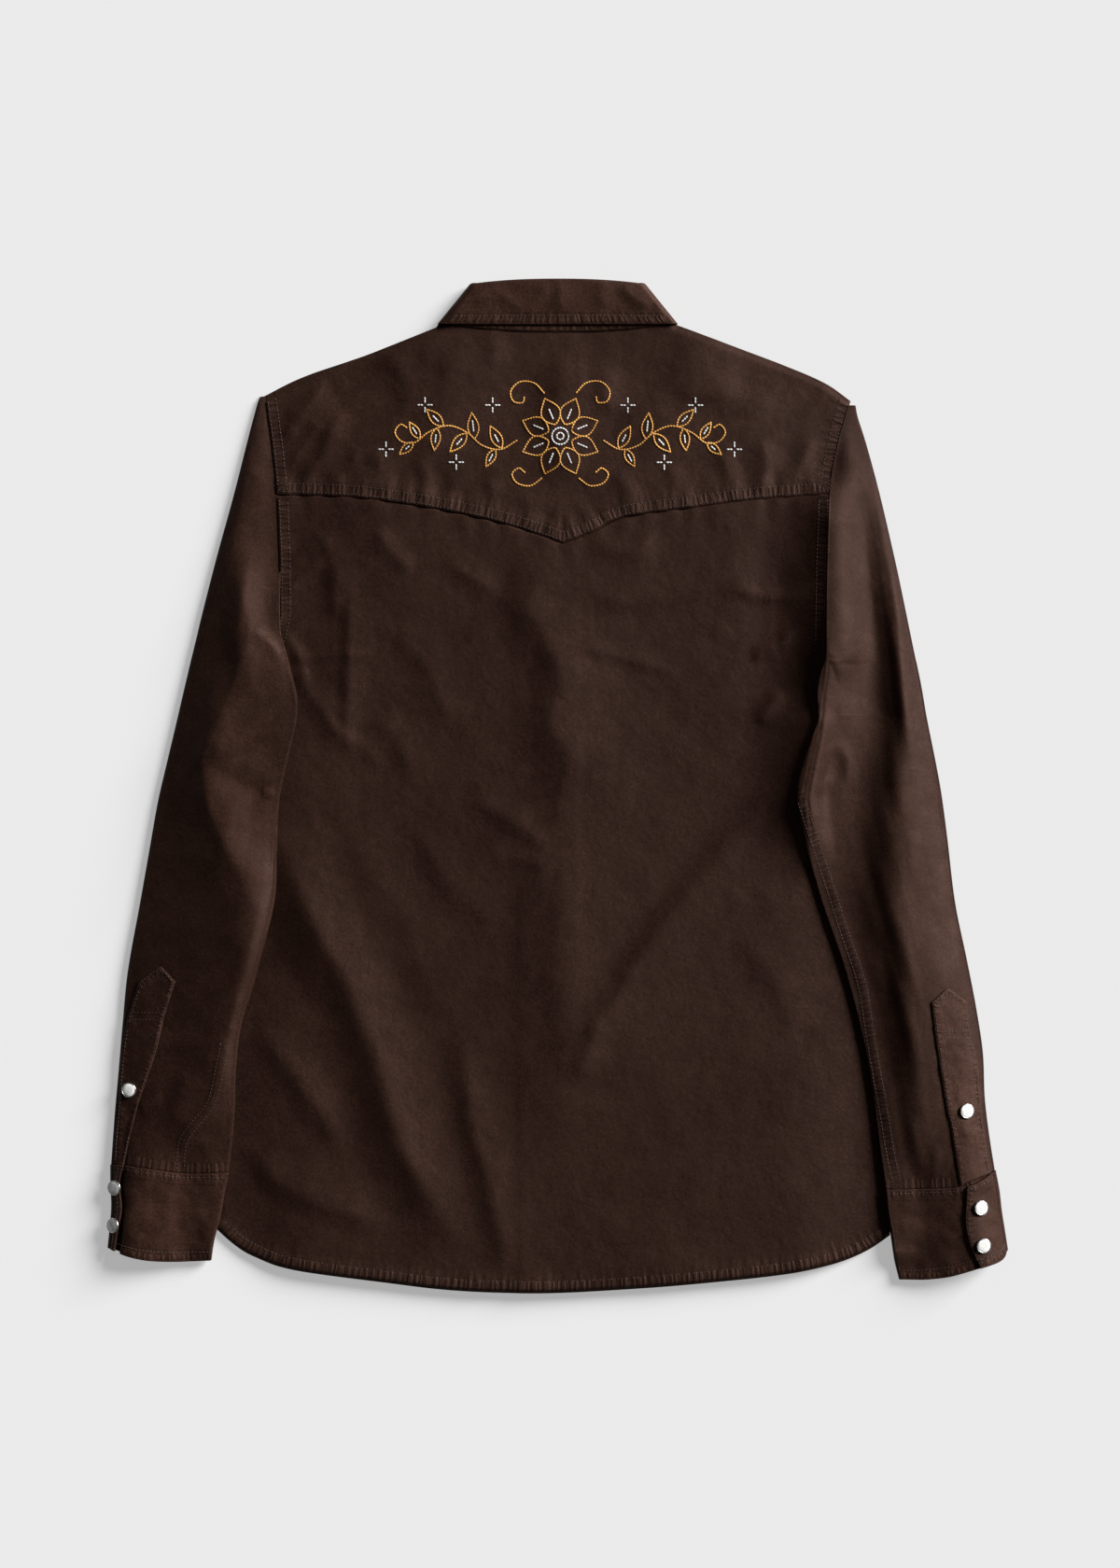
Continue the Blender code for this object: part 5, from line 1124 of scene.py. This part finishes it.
# the pointed strips over the sleeve openings: outer x, inner x, y, from the cuff seam up
placketStrips = {
    "sleeve_placket_left": {"sleeve": 0, "flat": (0.050, 0.156), "area": 0.0040, "rows": [
        (-339.4, -332.6, -292.6), (-338.4, -327.2, -267.8), (-336.4, -320.4, -242.0),
        (-334.6, -308.0, -206.0), (-330.0, -301.5, -178.5), (-320.6, -292.6, -151.0),
        (-304.6, -303.8, -140.0)]},
    "sleeve_placket_right": {"sleeve": 1, "slant": 8.5, "flat": (0.048, 0.146), "area": 0.0036, "rows": [
        (333.6, 309.8, -299.0), (329.2, 304.6, -273.0), (326.2, 299.0, -248.0),
        (323.0, 292.9, -212.0), (318.2, 290.0, -192.6), (315.0, 287.2, -167.0),
        (300.3, 299.5, -156.6)]},
}
placketLie = {"lift": 1.35, "edgeDrop": 0.45, "gape": 0.9, "columns": 26, "rows": 96, "tipFrom": 0.75}


def shareAt(surface, x, y, rounds=14):
    # the (u, v) of a surface above the places x, y
    u, v, step = np.full(x.shape, 0.3), np.full(x.shape, 0.25), 1e-3
    for _ in range(rounds):
        p = surface.plan(u, v)
        du, dv = (surface.plan(u + step, v) - p) / step, (surface.plan(u, v + step) - p) / step
        missX, missY = x - p[..., 0], y - p[..., 1]
        area = du[..., 0] * dv[..., 1] - du[..., 1] * dv[..., 0]
        u = np.clip(u + (missX * dv[..., 1] - missY * dv[..., 0]) / area, 0.0, 1.0)
        v = np.clip(v + (du[..., 0] * missY - du[..., 1] * missX) / area, 0.0, 0.985)
    return u, v


def raised(surface, line, distance):
    # points that far above places on a surface, square to it, and its normals there
    u, v = shareAt(surface, line[:, 0], line[:, 1])
    step = 0.012
    u0, u1 = np.clip(u - step, 0, 1), np.clip(u + step, 0, 1)
    v0, v1 = np.clip(v - step, 0, 0.99), np.clip(v + step, 0, 0.99)
    alongU = surface.point(u1, v) - surface.point(u0, v)
    alongV = surface.point(u, v1) - surface.point(u, v0)
    normal = np.cross(alongU, alongV)
    normal *= np.sign(normal[:, 2:3])
    normal /= np.linalg.norm(normal, axis=1)[:, None]
    return surface.point(u, v) + normal * np.broadcast_to(distance, len(line))[:, None], normal


def placketPlan(name):
    spec = placketStrips[name]
    edges = [[(row[k], row[2]) for row in spec["rows"]] for k in (0, 1)]
    shaft, tip = [evenCurve(edge[:-2]) for edge in edges], [evenLine(edge[-3:]) for edge in edges]
    tipFrom = placketLie["tipFrom"]

    def plan(u, v):
        low, high = np.clip(v / tipFrom, 0, 1), np.clip((v - tipFrom) / (1.0 - tipFrom), 0, 1)
        ends = [np.where((v < tipFrom)[..., None], shaft[k](low), tip[k](high)) for k in (0, 1)]
        flat = mix(*ends, u[..., None])
        flat[..., 1] -= spec.get("slant", 0.0) * u * smooth(1.0 - v / 0.3)
        return flat
    return plan


def makePlacket(name, finish):
    spec, plan, t = placketStrips[name], placketPlan(name), shares(30)
    sleeve = sleeves[spec["sleeve"]]
    rim = [plan(0.0 * t, t), plan(0.0 * t + 1.0, t)]

    def place(u, v):
        flat = plan(u, v)
        x, y = flat[:, 0], flat[:, 1]
        edge = np.minimum(np.minimum(u, 1.0 - u) * 26.0, (1.0 - v) * 120.0)
        lift = placketLie["lift"] - placketLie["edgeDrop"] * smooth(1.0 - edge / 1.6)
        if sleeve.side < 0:     # the left strip stands open beside its inner edge
            atOpening = smooth(1.0 - (1.0 - u) * 3.2) * smooth(1.0 - np.abs(v - 0.24) / 0.2)
            lift = lift + placketLie["gape"] * atOpening
        points, _ = raised(sleeve, flat, lift)
        points[:, 2] += rumpled(x, y, (0.4, 11.0, 31), (0.25, 5.0, 33))
        return points, flat, seamMarks(*[fromLine(line, x, y) for line in rim])
    along = steps(placketLie["rows"], placketLie["tipFrom"], 0.875)
    sheetPiece(name, finish, steps(placketLie["columns"]), along, place, spec, cloth["foldedWall"])


# The right strip's tone, far lighter than the left's, is painted light: the right sleeve faces the lamp.
makePlacket("sleeve_placket_left", makeTwill("placketTwillLeft", 0.95, 0.7, 0.4, 5.0, 3.0))
makePlacket("sleeve_placket_right", makeTwill("placketTwillRight", 2.8, 0.7, 0.6, 5.0, 3.0))
print("sleeve plackets laid")

cuffForms = {name: CuffForm(name) for name in cuffs}
for name, form in cuffForms.items():
    sheetPiece(name, cuffTwill, shares(sum(cuffForm["parts"]) + 1), steps(cuffForm["rows"]), form.place,
               cuffs[name], cloth["cuffWall"])
print("cuffs laid")

# The collar's levels are loops round the neck, laid flat: half behind, above, and half in front,
# below: half width, y at the side folds, y at the back, height behind, height in front
collarLevels = {
    "standFoot": (89.0, 355.2, 348.4, 6.8, 4.2), "standTop": (65.0, 383.5, 386.6, 7.4, 4.2),
    "fallSeam": (64.2, 384.2, 387.4, 7.4, 4.2), "fallTop": (67.5, 384.6, 387.8, 9.5, 0.75),
    "fallEdge": (92.0, 354.5, 354.2, 8.45, 0.75),
}
collarFronts = {
    "standFoot": [(82.0, 319.0), (56.6, 286.4), (30.0, 272.8)],
    "standTop": [(58.0, 346.0), (42.0, 316.0), (22.0, 303.0)],
    "fallSeam": [(56.6, 346.6), (40.4, 317.6), (21.4, 305.0)],
    "fallTop": [(56.6, 346.6), (40.4, 317.6), (21.4, 305.0)],
    "fallEdge": [(91.0, 318.0), (80.0, 262.0), (63.0, 217.0)],
}
collarEnds = {
    "standFoot": ((9.0, 266.4), (-23.0, 269.4)), "standTop": ((9.0, 298.0), (-23.0, 298.4)),
    "fallSeam": ((-5.0, 302.2), (6.4, 302.8)), "fallTop": ((-5.0, 302.2), (6.4, 302.8)), "fallEdge": None,
}
collarCreases = [
    (((-85.3, 356.4), (-75.2, 367.9), (-60.8, 373.7), (-43.6, 376.6)), 9, 7, 0.8, 2),
    (((-53.6, 383.8), (-40.7, 375.1), (-29.2, 366.5), (-22.0, 359.3)), 8, 8, 0.8, 2),
    (((-6.1, 388.1), (-11.9, 376.6), (-19.1, 367.9), (-23.4, 359.3)), 7, 9, 0.8, 2),
    (((6.8, 389.5), (2.5, 378.0), (4.0, 367.9), (11.2, 359.3)), 6, 8, 0.6, 2),
    (((51.5, 388.1), (54.4, 379.4), (63.0, 372.2), (74.5, 367.9)), 10, 8, 1.0, 2),
    (((38.5, 389.5), (34.2, 376.6), (38.5, 363.6)), 8, 8, 0.6, 2),
]
collarPiece = {"centre": 0.7, "neckBend": 2.4, "back": 120, "turn": 8, "front": 44, "tall": 34.0,
               "wave": 0.5, "puff": 0.8, "pucker": 0.12, "rollRows": 9, "fallRows": 46, "standRows": 18,
               "lapRise": 1.8, "lapX": 34.0, "lapRun": 18.0, "frontBelow": 4.3,
               "fallStitchRow": 36, "standStitchShare": 0.16}
standCut = {"flat": (0.400, 0.042), "area": 0.0126}
fallCut = {"flat": (0.440, 0.080), "area": 0.0295}


def collarLoop(name):
    halfWidth, sideY, backY, backTop, frontTop = collarLevels[name]
    radius, centre, count = (backTop - frontTop) / 2.0, collarPiece["centre"], collarPiece["turn"]
    turns = np.pi * (np.arange(count) + 1.0) / (count + 1.0)
    ways = []
    for side, end in zip((-1, 1), collarEnds[name] or (None, None)):
        foldX = centre + side * (halfWidth - radius)
        arc = np.column_stack([foldX + side * radius * np.sin(turns), np.full(count, sideY),
                               frontTop + radius * (1.0 + np.cos(turns))])
        route = [(foldX, sideY)] + [(side * x, y) for x, y in collarFronts[name]] + ([end] if end else [])
        run = lengthCurve(route)(shares(collarPiece["front"]))
        ways.append(np.concatenate([arc, np.column_stack([run, np.full(len(run), frontTop)])]))
    across = np.linspace(-1.0, 1.0, collarPiece["back"])
    behind = np.column_stack([centre + across * (halfWidth - radius),
                              mix(backY, sideY, np.abs(across) ** collarPiece["neckBend"]),
                              np.full(len(across), backTop)])
    return np.concatenate([ways[0][::-1], behind, ways[1]])


def lapped(points):
    # the stand's right front end rises on to its left one
    look = collarPiece
    onRight = (np.arange(len(points)) > len(points) // 2) & (points[:, 2] < look["frontBelow"])
    nearEnd = smooth((look["lapX"] - points[:, 0]) / look["lapRun"])
    rise = np.where(onRight, look["lapRise"], 0.0) * nearEnd
    return np.column_stack([points[:, :2], points[:, 2] + rise])


def collarSheet(node, rows, alongRows, inwards, cut):
    # rows of loops, from which the grid takes its points
    rows = np.array(rows)
    lengths = lengthsAlong(rows[-1])

    def place(u, v):
        i = np.rint(v * (len(rows) - 1)).astype(int)
        j = np.rint(u * (rows.shape[1] - 1)).astype(int)
        flat = np.column_stack([lengths[j], alongRows[i]])
        return rows[i, j], flat, seamMarks((lengths[j], inwards[i]))
    sheetPiece(node, collarTwill, shares(rows.shape[1]), shares(len(rows)), place, cut, cloth["collarWall"])


def makeCollar():
    # the stand and the fall; gives the two rows of points that their stitches follow
    look, tall = collarPiece, collarPiece["tall"]
    foot, top = lapped(collarLoop("standFoot")), lapped(collarLoop("standTop"))
    up = np.linspace(0.0, tall, look["standRows"])
    collarSheet("collar_stand", [mix(foot, top, v) for v in shares(look["standRows"])], up, up, standCut)
    seam, over, edge = (collarLoop(name) for name in ("fallSeam", "fallTop", "fallEdge"))
    away = (over - edge) * (1.0, 1.0, 0.0)
    away /= np.linalg.norm(away, axis=1)[:, None]
    middle = (seam + over) / 2.0
    size = np.linalg.norm(seam - over, axis=1)[:, None] / 2.0
    roll = shares(look["rollRows"])[:-1]
    rows = [middle + (seam - middle) * math.cos(math.pi * t) + away * size * math.sin(math.pi * t)
            for t in roll]
    down = shares(look["fallRows"])
    behind = (np.abs(np.arange(len(edge)) - len(edge) / 2) < look["back"] / 2).astype(float)
    for share in down:
        row = mix(over, edge, share)
        x, y = row[:, 0], row[:, 1]
        wave = look["wave"] * rumpled(x, y, (1.0, 30.0, 41), (0.5, 13.0, 43))
        pucker = look["pucker"] * np.sin(x * 0.9 + 2.0 * unevenness(x, 0 * x, 9.0, 44))
        row[:, 2] += behind * (look["puff"] * math.sin(math.pi * share) ** 0.8
                               + wave * math.sin(math.pi * min(share, 0.9))
                               + creaseHeight(collarCreases, x, y) + pucker * smooth((share - 0.6) / 0.3))
        rows.append(row)
    inwards = np.concatenate([np.full(len(roll), 60.0), (1.0 - down) * tall])
    collarSheet("collar_fall", rows, np.concatenate([6.0 * (roll - 1.0), down * tall]), inwards, fallCut)
    lift = np.array([0.0, 0.0, cloth["collarWall"] / 2.0])
    sewn = rows[len(roll) + look["fallStitchRow"]], mix(foot, top, look["standStitchShare"])
    return [line[behind > 0.0] + lift for line in sewn]


collarRows = makeCollar()
print("collar laid")

frontSnaps = {"front_snap_%d" % (k + 1): (-9.0, 226.0 - 94.0 * k) for k in range(6)}
pocketSnaps = {"pocket_snap_left_outer": (-137.0, 118.0), "pocket_snap_left_inner": (-83.0, 118.0),
               "pocket_snap_right_inner": (75.0, 118.0), "pocket_snap_right_outer": (129.0, 118.0)}
placketSnaps = {"placket_snap_left": (-328.4, -234.7), "placket_snap_right": (314.3, -250.6)}
cuffSnaps = {"cuff_snap_left_upper": (-339.4, -309.8), "cuff_snap_left_lower": (-340.2, -338.8),
             "cuff_snap_right_upper": (325.1, -324.7), "cuff_snap_right_lower": (327.2, -353.5)}


def makePearl():
    made, net, shader, where = newMaterial("pearlCap")
    swirl = net.noise(where, 420.0, (1.0, 0.45, 1.0), 3.0, 0.6)
    colour = net.mixed(net.ramped(swirl, 0.35, 0.65), (0.72, 0.71, 0.68), (0.93, 0.93, 0.92))
    flush = net.ramped(net.noise(where, 190.0, (0.5, 1.0, 1.0)), 0.5, 0.8, 0.0, 0.3)
    net.feed(shader, {"Base Color": net.mixed(flush, colour, (0.86, 0.80, 0.74)),
                      "Roughness": net.ramped(swirl, 0.3, 0.7, 0.16, 0.3),
                      "Coat Weight": 0.6, "Coat Roughness": 0.08})
    return made


def makeSteel():
    made, net, shader, where = newMaterial("snapRim")
    scuff = net.noise(where, 900.0, detail=3.0)
    net.feed(shader, {"Base Color": net.mixed(scuff, (0.50, 0.49, 0.47), (0.72, 0.71, 0.69)),
                      "Roughness": net.ramped(scuff, 0.3, 0.7, 0.22, 0.42), "Metallic": 1.0})
    return made


pearlCap, snapRim = makePearl(), makeSteel()


def spun(bm, profile, finish):
    # a round of the snap from its profile, each point (radius, height)
    verts = [bm.verts.new((r * mm, 0.0, h * mm)) for r, h in profile]
    edges = [bm.edges.new(pair) for pair in zip(verts, verts[1:])]
    before = set(bm.faces)
    bmesh.ops.spin(bm, geom=verts + edges, cent=(0, 0, 0), axis=(0, 0, 1), angle=2.0 * math.pi,
                   steps=snapLook["segments"], use_merge=True)
    bmesh.ops.remove_doubles(bm, verts=bm.verts, dist=0.002 * mm)
    for face in set(bm.faces) - before:
        face.material_index = finish


def makeSnap(node, centre, outward):
    r, top = snapLook["radius"], snapLook["depth"] / 2
    inner = r - snapLook["rim"]
    bm = bmesh.new()
    spun(bm, [(0.0, -top), (r - 0.5, -top), (r, 0.3 - top), (r, top - 0.45), (r - 0.2, top - 0.12),
              (r - 0.45, top), (inner, top - 0.1), (inner, top - 0.35), (0.0, top - 0.35)], 1)
    spun(bm, [(0.0, -0.1), (inner - 0.05, -0.1), (inner - 0.05, top - 0.3), (inner - 0.35, top - 0.05),
              (r * 0.6, top + 0.12), (r * 0.3, top + 0.2), (0.0, top + 0.22)], 0)
    bmesh.ops.recalc_face_normals(bm, faces=bm.faces)
    turn = Vector(outward).to_track_quat("Z", "Y").to_matrix().to_4x4()
    bmesh.ops.transform(bm, matrix=Matrix.Translation(Vector(centre) * mm) @ turn, verts=bm.verts)
    finishPiece(node + "_cap", meshFrom(bm, node + "_cap"), [pearlCap, snapRim], node)


for node, (x, y) in {**frontSnaps, **pocketSnaps}.items():
    makeSnap(node, (x, y, snapLook["faceDownZ"]), (0, 0, -1))
low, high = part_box("collar_snap")
makeSnap("collar_snap", tuple((a + b) / (2.0 * mm) for a, b in zip(low, high)), (0, 0, -1))
placketLift = placketLie["lift"] + (cloth["foldedWall"] + snapLook["depth"]) / 2 + 0.2
cuffLift = (cloth["cuffWall"] + snapLook["depth"]) / 2 + 0.2
onForms = [(placketSnaps, sleeves, placketLift), (cuffSnaps, [*cuffForms.values()], cuffLift)]
for snapSet, forms, lift in onForms:
    for node, spot in snapSet.items():
        centre, normal = raised(forms[0] if spot[0] < 0 else forms[1], np.array([spot]), lift)
        makeSnap(node, centre[0], normal[0])
print("snaps set")

# Topstitching: short proud threads laid along rows on the cloth
stitchLook = {"pitch": 2.9, "length": 2.25, "width": 0.62, "height": 0.5, "sink": 0.05}
# how far in from its edge or seam each row runs, and how far above the cloth's middle
rowInsets = {"yoke": (2.2, 8.4), "hem": 8.6, "armhole": (2.4, 8.8), "cuffEnd": 2.6, "felled": (-2.9, 2.9),
             "front": (2.0, 7.0)}
rowLifts = {"cuff": 0.9, "placket": 1.9, "felled": 0.5}


def makeThread(name, low, high, rough=0.55):
    made, net, shader, where = newMaterial(name)
    fuzz, cloud = net.noise(where, 1400.0), net.noise(where, 60.0)
    shade = net.ramped(net.times(net.plus(fuzz, cloud), 0.5), 0.36, 0.64)
    net.feed(shader, {"Base Color": net.mixed(shade, low, high), "Normal": net.bump(fuzz, 0.12),
                      "Roughness": net.ramped(fuzz, 0.3, 0.7, rough - 0.1, rough + 0.12)})
    return made


brownThread = makeThread("brownThread", (0.020, 0.009, 0.006), (0.062, 0.032, 0.023))


def evenlySpaced(points, pitch):
    # points that far apart along a path, and the way it runs at each
    lengths = lengthsAlong(points)
    at = np.arange(pitch / 2, lengths[-1], pitch)
    before, middle, after = (np.column_stack([np.interp(at + d, lengths, column) for column in points.T])
                             for d in (-0.6, 0.0, 0.6))
    return middle, after - before


def makeStitches(name, rows, finish, look=stitchLook):
    # one small thread, repeated along every row
    bm = bmesh.new()
    bmesh.ops.create_uvsphere(bm, u_segments=6, v_segments=4, radius=0.5,
                              matrix=Matrix.Rotation(math.pi / 2, 4, "Y"))
    bmesh.ops.recalc_face_normals(bm, faces=bm.faces)
    shape = np.array([v.co[:] for v in bm.verts]) * (look["length"], look["width"], look["height"])
    mesh = bpy.data.meshes.new(name)
    bm.to_mesh(mesh)
    spaced = [evenlySpaced(row, look["pitch"]) for row in rows]
    spots, ways = (np.concatenate(part) for part in zip(*spaced))
    along = ways / np.linalg.norm(ways, axis=1)[:, None]
    side = np.cross((0.0, 0.0, 1.0), along)
    side /= np.linalg.norm(side, axis=1)[:, None]
    up = np.cross(along, side)
    points = sum(shape[None, :, k, None] * axis[:, None, :] for k, axis in enumerate((along, side, up)))
    points += (spots + up * look["sink"])[:, None, :]
    for _ in range(len(spots) - 1):
        bm.from_mesh(mesh)
    bm.to_mesh(mesh)
    bm.free()
    mesh.vertices.foreach_set("co", (points * mm).ravel())
    print(name, len(spots), "stitches")
    return finishPiece(name, mesh, [finish], None)


def insetLine(line, distance, inside):
    # a line moved sideways by a distance, towards the point inside
    way = np.gradient(line, axis=0)
    normal = np.column_stack([-way[:, 1], way[:, 0]]) / np.hypot(way[:, 0], way[:, 1])[:, None]
    if ((np.array(inside) - line[len(line) // 2]) * normal[len(line) // 2]).sum() < 0:
        normal = -normal
    return line + normal * distance


def onBody(line, surface):
    return np.column_stack([line, surface(line[:, 0], line[:, 1]) + cloth["wall"] / 2])


def atHeight(line, z):
    return np.column_stack([line, np.full(len(line), z)])


fineSeam = yokeSeam(np.linspace(0.004, 0.996, 260))
yokeRows = [onBody(insetLine(fineSeam, d, (0.0, 260.0)), yokeSurface) for d in rowInsets["yoke"]]
makeStitches("yoke_stitches", yokeRows, brownThread)
fineHem = hemCurve(shares(300))[5:294]
hemRow = onBody(insetLine(fineHem, rowInsets["hem"], (0.0, 0.0)), backSurface)
makeStitches("hem_stitches", [hemRow], brownThread)
armRows, yokeFromY, backToY = [], 226.0, 220.0
for sidePoints in (leftSide, rightSide):
    seamLine = evenLine(sidePoints[6:])(np.linspace(0.02, 0.985, 160))
    for d in rowInsets["armhole"]:
        moved = insetLine(seamLine, d, (0.0, 180.0))
        armRows += [onBody(moved[moved[:, 1] > yokeFromY], yokeSurface),
                    onBody(moved[moved[:, 1] < backToY], backSurface)]
makeStitches("armhole_stitches", armRows, brownThread)

# the cuffs' rows follow their seam, foot and over end
cuffRows = []
t = np.linspace(0.03, 0.97, 60)
for form in cuffForms.values():
    overEnd = form.lapShare(t) - rowInsets["cuffEnd"] / form.width(t)
    for u, v in ((t, 0.05 + 0 * t), (t, 0.90 + 0 * t), (overEnd, t)):
        cuffRows.append(raised(form, form.plan(u, v), rowLifts["cuff"])[0])
makeStitches("cuff_stitches", cuffRows, brownThread)

placketRows = []
up, across = np.linspace(0.0, 0.955, 70), np.linspace(0.09, 0.91, 16)
for name, spec in placketStrips.items():
    plan = placketPlan(name)
    tip = plan(np.array([0.5]), np.array([0.975]))
    rim = np.concatenate([plan(0.075 + 0 * up, up), tip, plan(0.925 + 0 * up, up)[::-1]])
    for line in (rim, plan(across, 0.765 + 0 * across), plan(across, 0.735 + 0 * across)):
        placketRows.append(raised(sleeves[spec["sleeve"]], line, rowLifts["placket"])[0])
makeStitches("placket_stitches", placketRows, brownThread)

felledRows = []
for form in sleeves:
    line = lengthCurve(form.spec["felled"])(np.linspace(0.05, 0.97, 90))
    for d in rowInsets["felled"]:
        felledRows.append(raised(form, insetLine(line, d, (0.0, 0.0)), rowLifts["felled"])[0])
makeStitches("sleeve_stitches", felledRows, brownThread)
makeStitches("collar_stitches", collarRows, brownThread)

# rows seen from below, on the band, the pockets and their flaps
faceDown = {"band": onSnaps - 0.55, "pocket": 0.27}
y = np.linspace(-374.0, 262.0, 60)
frontRows = [atHeight(np.column_stack([x + 0 * y, y]), faceDown["band"]) for x in (-22.0, 4.0)]
for left, right, bottom, top in pocketSpots.values():
    corner = pocketCut["corner"]
    for d in rowInsets["front"]:
        rim = lengthCurve([(left + d, top), (left + d, bottom + corner), (left + corner, bottom + d),
                           (right - corner, bottom + d), (right - d, bottom + corner), (right - d, top)])
        frontRows.append(atHeight(rim(shares(90)), faceDown["pocket"]))
for spot in flapSpots.values():
    x = np.linspace(spot[0] + 2.0, spot[1] - 2.0, 30)
    for d in rowInsets["front"]:
        rows = flapFoot(spot, -d)(np.linspace(0.02, 0.98, 60)), np.column_stack([x, spot[3] - d + 0 * x])
        frontRows += [atHeight(row, faceDown["band"]) for row in rows]
makeStitches("front_stitches", frontRows, brownThread, {**stitchLook, "height": 0.42, "sink": 0.0})
print("topstitching laid")

# A plain western embroidery across the yoke: a flower between two leafy vines, in chain stitch.
# Both sides are mirrored from one; points are from the flower's middle.
embroidery = {
    "centre": (2.5, 268.0), "petals": 8, "petalIn": 9.5, "petalOut": 31.0, "petalWide": 7.4,
    "vine": [(33.0, -3.0), (46.0, -10.0), (60.0, -7.0), (72.0, 3.0), (86.0, 8.0), (101.0, 3.0),
             (112.0, -5.0), (122.0, -4.0), (127.0, 3.0), (123.0, 9.0), (117.5, 6.5)],
    "leaves": [(45.0, -9.0, 62.0, 19.0), (50.0, -10.0, -62.0, 15.0), (66.0, -2.0, 84.0, 20.0),
               (72.0, 2.0, -48.0, 19.0), (90.0, 7.5, 46.0, 18.0), (95.0, 6.0, -84.0, 17.0),
               (108.0, -2.0, 58.0, 15.0), (113.0, -5.0, -40.0, 14.0)],
    "curls": [[(12.0, 33.0), (20.0, 41.0), (31.0, 42.0), (38.0, 35.0), (36.0, 27.0), (29.0, 26.0),
               (27.5, 31.0)],
              [(14.0, -32.0), (23.0, -38.0), (33.0, -36.0), (37.0, -29.0), (32.0, -24.5), (27.5, -27.5)]],
    "buds": [(52.0, 24.0), (80.0, -20.0), (104.0, 24.0), (134.0, -10.0)],
    "link": {"pitch": 2.15, "length": 2.65, "width": 1.5, "height": 0.85, "sink": 0.12},
}


def heading(degrees):
    return np.array([math.cos(math.radians(degrees)), math.sin(math.radians(degrees))])


def almond(start, degrees, length, wide=0.21):
    # a closed leaf from its foot, pointing that way
    way, aside = heading(degrees), heading(degrees + 90.0)
    t = shares(16)[:, None]
    swell = length * wide * np.sin(np.pi * t ** 0.85)
    ways = [start + way * (t * length) + aside * (side * swell) for side in (1, -1)]
    return np.concatenate([ways[0], ways[1][::-1]])


def ring(radius):
    turn = 2.0 * np.pi * shares(30)
    return radius * np.column_stack([np.cos(turn), np.sin(turn)])


def spoke(start, degrees, low, high):
    # a short straight line that way from a point
    return np.array(start) + np.array([heading(degrees) * low, heading(degrees) * high])


def makeEmbroidery():
    look = embroidery
    gold, pale = [], [ring(6.4), ring(2.6)]
    length = look["petalOut"] - look["petalIn"]
    for k in range(look["petals"]):
        degrees = 360.0 * (k + 0.5) / look["petals"]
        gold.append(almond(heading(degrees) * look["petalIn"], degrees, length, look["petalWide"] / length))
        pale.append(spoke((0.0, 0.0), degrees, 14.0, 23.0))
    for flip in (np.array([1.0, 1.0]), np.array([-1.0, 1.0])):
        gold.append(lengthCurve(look["vine"])(shares(120)) * flip)
        for x, y, degrees, length in look["leaves"]:
            gold.append(almond((x, y), degrees, length) * flip)
            pale.append(spoke((x, y), degrees, 0.28 * length, 0.66 * length) * flip)
        gold += [lengthCurve(curl)(shares(50)) * flip for curl in look["curls"]]
        for bud in look["buds"]:
            pale += [spoke(bud, degrees, 1.6, 5.4) * flip for degrees in (0.0, 90.0, 180.0, 270.0)]
    for name, lines, finish in (("gold", gold, goldThread), ("pale", pale, paleThread)):
        rows = [onBody(line + np.array(look["centre"]), yokeSurface) for line in lines]
        makeStitches("yoke_embroidery_" + name, rows, finish, look["link"])


goldThread = makeThread("goldThread", (0.38, 0.165, 0.026), (0.74, 0.38, 0.082), 0.42)
paleThread = makeThread("paleThread", (0.38, 0.37, 0.36), (0.72, 0.71, 0.69), 0.42)
makeEmbroidery()
print("embroidery laid")

studio = {"floor": (0.43, 0.43, 0.43), "floorGlow": 0.385, "floorReach": 20.0, "sun": 8.05, "sky": 0.065,
          "sunElevation": 22.0, "sunAzimuth": 33.0, "sunAngle": 27.0}


def makeStudio():
    bm = bmesh.new()
    bmesh.ops.create_grid(bm, x_segments=1, y_segments=1, size=studio["floorReach"])
    floor = inScene("floor", meshFrom(bm, "floor"))
    paper, net, shader, _ = newMaterial("palePaper")
    # a little light of its own keeps the shadows on the paper pale
    net.feed(shader, {"Base Color": studio["floor"], "Roughness": 0.9, "Specular IOR Level": 0.0,
                      "Emission Color": (1.0, 1.0, 1.0), "Emission Strength": studio["floorGlow"]})
    floor.data.materials.append(paper)
    sun = bpy.data.lights.new("softKey", "SUN")
    sun.energy, sun.angle = studio["sun"], math.radians(studio["sunAngle"])
    up, across = heading(studio["sunElevation"]), heading(studio["sunAzimuth"])
    towards = Vector((up[0] * across[0], up[0] * across[1], up[1]))
    inScene("softKey", sun).rotation_euler = towards.to_track_quat("Z", "Y").to_euler()
    world = bpy.data.worlds.new("studio")
    bpy.context.scene.world = world
    world.use_nodes = True
    glow = {"Color": (1.0, 1.0, 1.0), "Strength": studio["sky"]}
    Net(world.node_tree).feed(world.node_tree.nodes["Background"], glow)
    bpy.context.scene.view_settings.view_transform = "Standard"


makeStudio()

view = {"frameHeight": 1.2096, "lens": 85.0, "sensor": 36.0, "farthest": 40.0, "centre": (0.0025, 0.0007)}
camera = bpy.data.cameras.new("overhead")
camera.lens, camera.sensor_width, camera.clip_end = view["lens"], view["sensor"], view["farthest"]
eye = inScene("overhead", camera)
eye.location = (*view["centre"], view["frameHeight"] * view["lens"] / view["sensor"])
bpy.context.scene.camera = eye
print("studio and camera ready")
